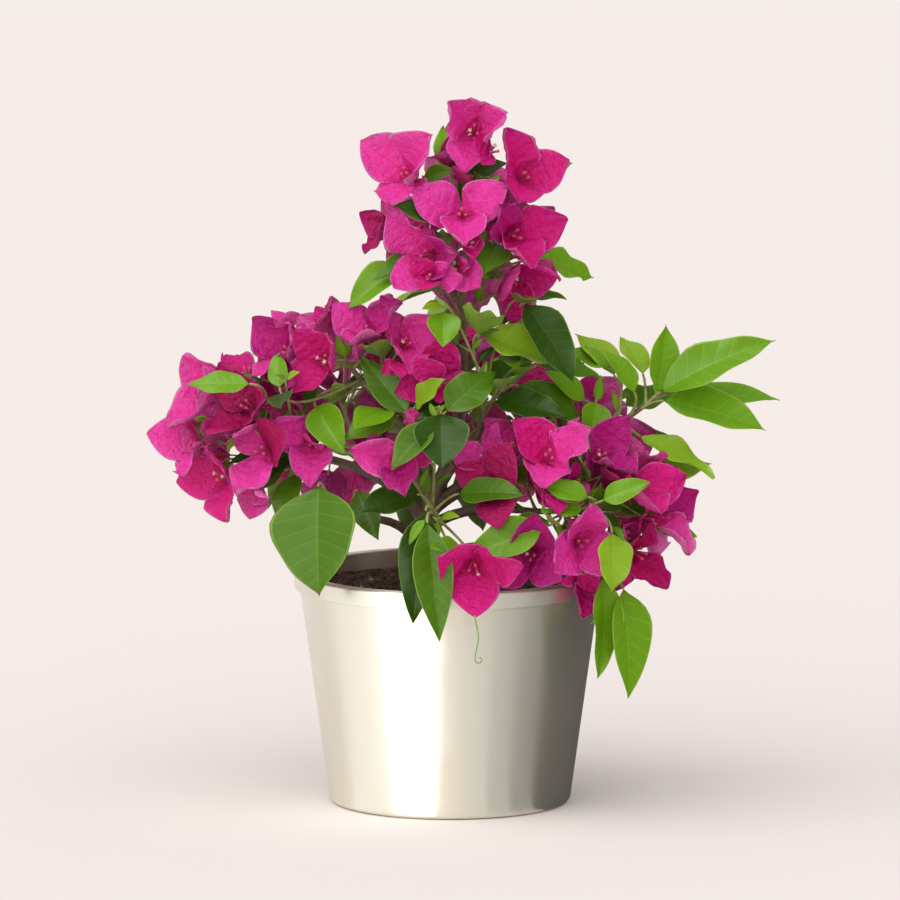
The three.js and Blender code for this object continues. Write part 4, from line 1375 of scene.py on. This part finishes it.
# The points of one fine sheet. Ease flattens its cup, waves and folds.
def fineBlade(blade, marks, kind=None, ease=1.0):
    kind = kind or blade["kind"]
    form, layout, outline = sheetForms[kind], layouts[kind], blades[blade["kind"]]
    roll = dice(*marks, draws["sheet"])
    u, t, bulge = layout["u"], layout["t"], layout["bulge"]
    across, upper = (np.array(v) for v in bladeFrame(blade))
    along, root = np.array(blade["along"]), np.array(blade["root"])
    length = blade["length"]
    bend, turn = math.radians(blade["arch"]) or 1e-4, math.radians(blade["twist"])
    side = np.abs(t)
    s = u + form["slant"] * side * u * (1 - u)

    def halfAt(s):
        half = blade["width"] / 2 * np.sin(np.pi * s ** outline["swell"]) ** outline["round"]
        return half * (1 - np.exp(-s / outline["claw"])) * (1 - form["draw"] * np.exp(-(1 - s) / 0.09))

    half = halfAt(s)
    wave = roll(*form["wave"]) * length * ease
    turns = roll(*form["waves"]) * 2 * math.pi
    phase = np.where(t < 0, roll(0, 6.3), roll(0, 6.3))
    height = blade["fold"] * half * side + roll(*form["cup"]) * half * side**2 * ease
    height = height + wave * side**3 * np.sin(turns * s + phase) * np.minimum(1, 3 * s)
    swell = np.sqrt(side) * (1 - side**2) * np.sin(np.pi * s) ** 0.5
    height = height + form["quilt"] * length * bulge * swell
    for k in range(3):
        size = form["crinkle"] * length / (k + 1) * ease
        ripple = np.sin((7 + 7 * k) * s + roll(2.5, 5) * (k + 1) * t * (0.4 + s) + roll(0, 6.3))
        height = height + size * np.minimum(1, 2.5 * side) * ripple

    def place(s, sideways, height):
        s = s[..., None]
        spin = turn * s
        sideWay = across * np.cos(spin) - upper * np.sin(spin)
        normal = along * np.sin(bend * s) + np.cos(bend * s) * (upper * np.cos(spin) + across * np.sin(spin))
        run, drop = length * np.sin(bend * s) / bend, length * (1 - np.cos(bend * s)) / bend
        return root + along * run - upper * drop + sideWay * sideways[..., None] + normal * height[..., None]

    lift = form["thick"] * length / 2 * np.sqrt(np.clip(1 - side**2, 0, 1)) * (0.4 + 0.6 * np.sin(np.pi * s))
    ridge = form["rib"] * length * (side < 0.1) * (1 - s)
    upperSheet = place(s, t * half, height + lift - 0.35 * ridge)
    lowerSheet = place(s, t * half, height - lift - ridge)[:, 1:-1]
    ends = place(np.array([0.0, 1.0]), np.zeros(2), np.zeros(2))
    points = np.vstack([ends[:1], upperSheet.reshape(-1, 3), lowerSheet.reshape(-1, 3), ends[1:]])
    return points, layout["faces"], layout["kinds"]


placed = []

# How flat a sheet may be made, and how many degrees it may bend further, to keep clear of another.
easings = [(1.0, 0), (0.5, 0), (0.15, 0), (0.5, 14), (0.5, -14), (0.4, 28), (0.4, -28), (0.3, 42)]
crossingEase = 0.5


# The fine sheet, flatter or bent further where it would run into one that is already there. A spare one that
# still runs into one is left out.
def fitBlade(blade, marks, owner, organ, kind=None, spare=False):
    near = [piece for piece in placed if piece.owner != owner or piece.organ != organ]
    for ease, bend in easings:
        points, faces, kinds = fineBlade({**blade, "arch": blade["arch"] + bend}, marks, kind, ease)
        solid = Solid(points.tolist(), faces, owner, organ)
        if not meets(solid, near):
            break
    else:
        if spare:
            return None
        points, faces, kinds = fineBlade(blade, marks, kind, crossingEase)
        solid = Solid(points.tolist(), faces, owner, organ)
    placed.append(solid)
    return points, faces, kinds


# A round stem along a curve, with its radius and its relief given by functions, closed at both ends.
def roundStem(curve, girth, sides, steps, relief=None, start=0.0):
    side = swung(curve.way(0), 90, 0)
    points, marks = [], []
    run, last = 0.0, curve.point(start)
    for i in range(steps + 1):
        s = start + (1 - start) * i / steps
        way, middle = curve.way(s), curve.point(s)
        run += (middle - last).length
        last = middle
        side = (side - way * side.dot(way)).normalized()
        other = way.cross(side)
        radius = girth(s)
        for k in range(sides):
            a = 2 * math.pi * k / sides
            spot = (math.cos(a) * radius, math.sin(a) * radius, run)
            out = side * math.cos(a) + other * math.sin(a)
            points.append(middle + out * (radius + (relief(*spot) if relief else 0)))
            marks.append(spot)
    return [tuple(p) for p in points], ringFaces(sides, steps), marks


def addStem(gathering, kind, *shape):
    points, faces, places = roundStem(*shape)
    gathering.add(points, faces, kind, places)


# Bark and twig skin: streaks that follow the limb, from the attribute that tells each point's place on it.
def makeBarkGroup():
    tree, given, result = newGroup(
        "barkStreaks",
        [("Scale", "NodeSocketFloat", 0.5), ("Depth", "NodeSocketFloat", 0.0004)],
        [("Pattern", "NodeSocketFloat"), ("Normal", "NodeSocketVector"), ("Roughness", "NodeSocketFloat")],
    )
    place = addNode(tree, "ShaderNodeAttribute", (-1000, 0), attribute_name="limbPlace")
    stretch = addNode(tree, "ShaderNodeMapping", (-800, 0), Scale=(1, 1, 0.22))
    streaks = addNode(tree, "ShaderNodeTexNoise", (-560, 120), Detail=6.0, Roughness=0.65)
    patches = addNode(tree, "ShaderNodeTexNoise", (-560, -160), Scale=0.12, Detail=2.0)
    blend = addNode(tree, "ShaderNodeMath", (-360, 200), operation="MULTIPLY_ADD", use_clamp=True)
    bump = addNode(tree, "ShaderNodeBump", (-160, -100), Strength=0.9)
    gloss = addNode(tree, "ShaderNodeMapRange", (-160, -300), **{"To Min": 0.62, "To Max": 0.95})
    blend.inputs[1].default_value = 0.9
    wire(
        tree,
        (place, "Vector", stretch, "Vector"),
        (stretch, "Vector", streaks, "Vector"),
        (place, "Vector", patches, "Vector"),
        (given, "Scale", streaks, "Scale"),
        (streaks, "Fac", blend, 0),
        (patches, "Fac", blend, 2),
        (given, "Depth", bump, "Distance"),
        (streaks, "Fac", bump, "Height"),
        (streaks, "Fac", gloss, "Value"),
        (blend, "Value", result, "Pattern"),
        (bump, "Normal", result, "Normal"),
        (gloss, "Result", result, "Roughness"),
    )
    return tree


barkGroup = makeBarkGroup()


def barkMaterial(name, dark, pale, scale, depth):
    material = newMaterial(name, pale, 0.8)
    addRamp(material, addGroup(material, barkGroup, Scale=scale, Depth=depth), dark, pale, (0.62, 1.0))
    return material


# The bark's relief comes from noise: how fine it is across the limb and along it, and where it starts.
bark = {
    "trunkSides": 44,
    "trunkSteps": 110,
    "boughSides": 22,
    "boughSteps": 64,
    "lumps": (0.22, 0.06, 0),
    "ridges": (0.75, 0.13, 40),
    "cracks": (1.6, 0.5, 90),
    "ridge": 0.55,
    "fissure": 0.35,
    "boughRelief": 0.5,
    "collar": 0.3,
    "foot": 1.0,
    "dark": (0.045, 0.028, 0.018),
    "pale": (0.24, 0.17, 0.11),
}


# Long ridges, lumps and cracks, as a height over a limb's own radius.
def barkRelief(strength):
    def height(x, y, run):
        def rough(across, along, start):
            return noise.noise(Vector((x * across, y * across, run * along + start)))

        lumps, cracks = rough(*bark["lumps"]), rough(*bark["cracks"])
        ridges = 1 - abs(rough(*bark["ridges"])) * 2
        return strength * (bark["ridge"] * lumps + 0.3 * bark["ridge"] * ridges + bark["fissure"] * cracks)

    return height


def makeLimbs(setup):
    skin = barkMaterial("trunkBark", setup["dark"], setup["pale"], 0.55, 0.0006)
    limbs = Gathering("barkLimbs", [skin])
    foot = setup["foot"]
    whole = Curve(Vector(trunk["foot"]) - up * foot, trunk["knee"], trunk["top"])
    addStem(limbs, 0, whole, trunkGirth, setup["trunkSides"], setup["trunkSteps"], barkRelief(1.0))
    for name, plan in boughs.items():
        curve, girth = boughCurves[name], taper(plan["girth"])
        inside = 0 if plan["at"] == 1 else trunkGirth(plan["at"]) / curve.length()

        def swollen(share, girth=girth, inside=inside, reach=curve.length()):
            return girth(share) * (1 + setup["collar"] * math.exp(-max(0, share - inside) * reach / 4))

        relief = barkRelief(setup["boughRelief"])
        addStem(limbs, 0, curve, swollen, setup["boughSides"], setup["boughSteps"], relief)
    limbs.finish("bark", ["trunk"] + ["bough_" + name for name in boughs])


makeLimbs(bark)
print("limbs: trunk and", len(boughs), "boughs")

foliageNodes = ["foliage_" + name for name in masses]
twigs = Gathering(
    "twigs",
    [
        barkMaterial("stemSkin", (0.070, 0.045, 0.022), (0.230, 0.185, 0.090), 1.2, 0.0002),
        barkMaterial("twigSkin", (0.130, 0.140, 0.030), (0.340, 0.360, 0.100), 1.6, 0.0001),
    ],
)
stalks = Gathering("leafStalks", [newMaterial("stalkGreen", (0.240, 0.360, 0.080), 0.5)])


def gatherings(colours, skin):
    return {name: Gathering(name, bladeSet(name, row, skin)) for name, row in colours.items()}


leaves = gatherings(leafColours, bladeSkins["leaf"])
bracts = gatherings(bractColours, bladeSkins["bract"])

# How the colours are dealt out: the shares follow the order of the colours above, for most leaves, the
# leaves of the bright masses, most bracts and the bracts of the pink masses. Some blooms have a colour of
# their own.
dealing = {
    "leaf": (4, 4, 3, 1),
    "bright": (7, 3, 0, 2),
    "brightMasses": ("apron", "hang", "shoot", "right"),
    "bract": (4, 5, 3, 2),
    "pink": (7, 5, 1, 1),
    "pinkMasses": ("shoulder", "left"),
    "named": {
        "top": ("Pink", "Magenta", "Magenta", "Pink", "Magenta", "Magenta", "Purple", "Deep"),
        "shoulder": ("Pink", "Magenta", "Pink", "Pink"),
        "front": ("Magenta",),
    },
    "oddBract": 0.35,
}


# One of the colours, dealt out by spray in the given shares.
def dealt(kinds, shares, *marks):
    spot = dice(*marks, draws["colour"])(0, sum(shares))
    for kind, share in zip(kinds.values(), shares):
        spot -= share
        if spot <= 0:
            return kind
    return kind


# A twig swells where it leaves its stem and has a few joints along it.
def twigGirth(curve, girth, flare=0.6):
    reach = curve.length()

    def radius(share):
        joints = twig["joint"] * max(0.0, math.cos(share * reach * 2 * math.pi / twig["jointEvery"])) ** 8
        return taper(girth)(share) * (1 + flare * math.exp(-share * reach / 3) + joints)

    return radius


# The true flowers: three slim tubes in the middle of each bloom, a few of them open in a pale star. A tube's
# girth is its radius at the foot, the waist and the mouth.
flowers = {
    "tube": 0.34,
    "girth": (1.05, 0.7, 1.15),
    "waistAt": 0.35,
    "lean": (6, 16),
    "apart": 0.5,
    "room": (0.8, 1.6),
    "star": 2.1,
    "open": 0.2,
}
flowerTubes = Gathering("flowerTubes", [newMaterial("flowerRose", (0.62, 0.07, 0.19), 0.55)])
flowerStars = Gathering("flowerStars", [newMaterial("flowerCream", (0.82, 0.66, 0.44), 0.5)])


# A straight stem.
class Ray:
    def __init__(self, start, way, reach):
        self.begin, self.direction, self.reach = start, way, reach

    def point(self, s):
        return self.begin + self.direction * (self.reach * s)

    def way(self, s):
        return self.direction


# A shallow star of five lobes, closed at the back.
def starShape(centre, look, spin, size):
    side = swung(look, 90, 0)
    other = look.cross(side)
    rim, count = [], 10
    for k in range(count):
        a = math.radians(360 / count * k + spin)
        radius, lift = (size, 0.25 * size) if k % 2 == 0 else (size * 0.5, 0.05 * size)
        rim.append(centre + (side * math.cos(a) + other * math.sin(a)) * radius + look * lift)
    points = [centre - look * 0.1 * size] + rim + [centre - look * 0.35 * size]
    faces = [(0, 1 + k, 1 + (k + 1) % count) for k in range(count)]
    faces += [(1 + count, 1 + (k + 1) % count, 1 + k) for k in range(count)]
    return [tuple(p) for p in points], faces


def dressFlowers(bloom, mass, marks):
    look = bloom["look"]
    own = (bloom["organ"], "bract" + bloom["organ"])
    near = [piece for piece in standing if piece.owner != mass.name or piece.organ not in own]
    foot = bloom["curve"].end
    for k in range(3):
        roll = dice(*marks, draws["flower"] + k)
        way = swung(look, roll(*flowers["lean"]), bloom["spin"] + 120 * k + 60)
        reach = bloom["size"] * flowers["tube"] * roll(0.8, 1.1)
        low, waist, mouth = flowers["girth"]
        ray = Ray(foot + (way - look * way.dot(look)).normalized() * flowers["apart"], way, reach)
        tried = Curve(ray.point(0.1), ray.point(0.6), ray.point(1.1))
        if touches(tube(tried, taper(flowers["room"]), 4, 2), near):
            continue

        def girth(share):
            middle = flowers["waistAt"]
            if share < middle:
                return low + (waist - low) * share / middle
            return waist + (mouth - waist) * (share - middle) / (1 - middle)

        addStem(flowerTubes, 0, ray, girth, 6, 5)
        if roll() < flowers["open"]:
            flowerStars.add(*starShape(ray.point(1.02), way, roll(0, 72), flowers["star"] * roll(0.8, 1.1)))


def dressBloom(bloom, mass, branch):
    marks = [mass.index, branch, bloom["row"]]
    shares = dealing["pink" if mass.name in dealing["pinkMasses"] else "bract"]
    named = dealing["named"].get(mass.name, ())[bloom["row"] :] if branch == draws["bloom"] else ()
    for k, bract in enumerate(bloom["bracts"]):
        if bract:
            odd = dice(*marks, k, draws["oddBract"])() < dealing["oddBract"]
            kind = dealt(bracts, shares, *marks, k if odd else 0)
            if named and not odd:
                kind = bracts["bract" + named[0]]
            kind.add(*fitBlade(bract, [*marks, k], mass.name, bloom["organ"]))
    dressFlowers(bloom, mass, marks)


# A thin tendril hangs from the lowest bract of one mass and ends in a small curl.
tendril = {
    "mass": "front",
    "girth": (0.6, 0.4),
    "drop": 30,
    "sway": 1.1,
    "straight": 0.76,
    "curl": 2.6,
    "turn": 5.0,
    "tighter": 0.45,
    "overlap": 1.5,
}


class Tendril:
    def __init__(self, start, plan):
        self.start, self.plan = start, plan

    def point(self, s):
        plan = self.plan
        share = min(1.0, s / plan["straight"])
        sway = plan["sway"] * (1 - math.cos(2 * math.pi * share))
        spot = self.start + Vector((sway, 0, -plan["drop"] * share))
        if s > plan["straight"]:
            wound = (s - plan["straight"]) / (1 - plan["straight"])
            angle, radius = plan["turn"] * wound, plan["curl"] * (1 - plan["tighter"] * wound)
            spot += Vector((plan["curl"] - radius * math.cos(angle), 0, -radius * math.sin(angle)))
        return spot

    def way(self, s):
        return (self.point(s + 0.004) - self.point(s - 0.004)).normalized()


def dressTendril(mass):
    tips = []
    for bloom in mass.blooms:
        for k, bract in enumerate(bloom["bracts"]):
            if bract:
                points = fineBlade(bract, [mass.index, draws["bloom"], bloom["row"], k])[0]
                tips.append(Vector(points[-1]))
    lowest = min(tips, key=lambda tip: tip.z)
    hanging = Tendril(lowest + up * tendril["overlap"], tendril)
    addStem(stalks, 0, hanging, taper(tendril["girth"]), 7, 60)
    print("tendril: from", [round(v) for v in lowest])


# A mass's stem goes on from its bough and gets slim at its end, and each twig and stalk grows out of its own.
def dressStems(mass):
    end = boughs[mass.name]["girth"][1]

    def stemGirth(share):
        slim = 1 - 0.55 * max(0.0, (share - 0.8) / 0.2) ** 2
        return (taper(twig["stemGirth"])(share) + (end - twig["stemGirth"][0]) * math.exp(-8 * share)) * slim

    addStem(twigs, 0, mass.stem, stemGirth, 12, 30)
    for spray in mass.sprays:
        addStem(twigs, 1, spray["curve"], twigGirth(spray["curve"], twig["girth"]), 7, 18)
    for bloom in mass.sideBlooms:
        addStem(twigs, 1, bloom["curve"], twigGirth(bloom["curve"], sideBlooms["girth"]), 6, 8)
    for stalk in mass.stalks:
        addStem(stalks, 0, stalk, twigGirth(stalk, twig["sideStalk"], 1.0), 6, 6)


def dealtLeaf(mass, marks):
    return dealt(leaves, dealing["bright" if mass.name in dealing["brightMasses"] else "leaf"], *marks)


def dressLeaves(mass):
    for leaf in mass.leaves:
        kind = leaves[leaf["shade"]] if leaf["shade"] else dealtLeaf(mass, leaf["marks"])
        kind.add(*fitBlade(leaf["blade"], leaf["marks"], mass.name, leaf["marks"][1:]))


def dressBlooms(mass):
    for bloom in mass.blooms:
        dressBloom(bloom, mass, draws["bloom"])
    if mass.name == tendril["mass"]:
        dressTendril(mass)


def dressSideBlooms(mass):
    for bloom in mass.sideBlooms:
        dressBloom(bloom, mass, bloom["branch"])


def dressSmallLeaves(mass):
    for small in mass.smallOnes:
        blade, marks = small["blade"], small["marks"]
        kind = leaves["leafYoung"] if marks[1] == draws["youngLeaf"] else dealtLeaf(mass, marks)
        fitted = fitBlade(blade, marks, mass.name, marks[1:], "small", True)
        if fitted:
            kind.add(*fitted)
            stalk = Ray(small["foot"], blade["along"], (blade["root"] - small["foot"]).length)
            addStem(stalks, 0, stalk, taper(smallLeaves["stalkGirth"]), 5, 2)


for step in (dressStems, dressLeaves, dressBlooms, dressSideBlooms, dressSmallLeaves):
    for mass in grown:
        step(mass)
print("foliage:", len(placed), "leaves and bracts")
twigs.finish("bark", foliageNodes)
stalks.finish("leaves", foliageNodes)
for gathering in leaves.values():
    gathering.finish("leaves", foliageNodes)
for gathering in bracts.values():
    gathering.finish("blossom", foliageNodes)
flowerTubes.finish("blossom", foliageNodes)
flowerStars.finish("blossom", foliageNodes)
print("foliage: dressed")
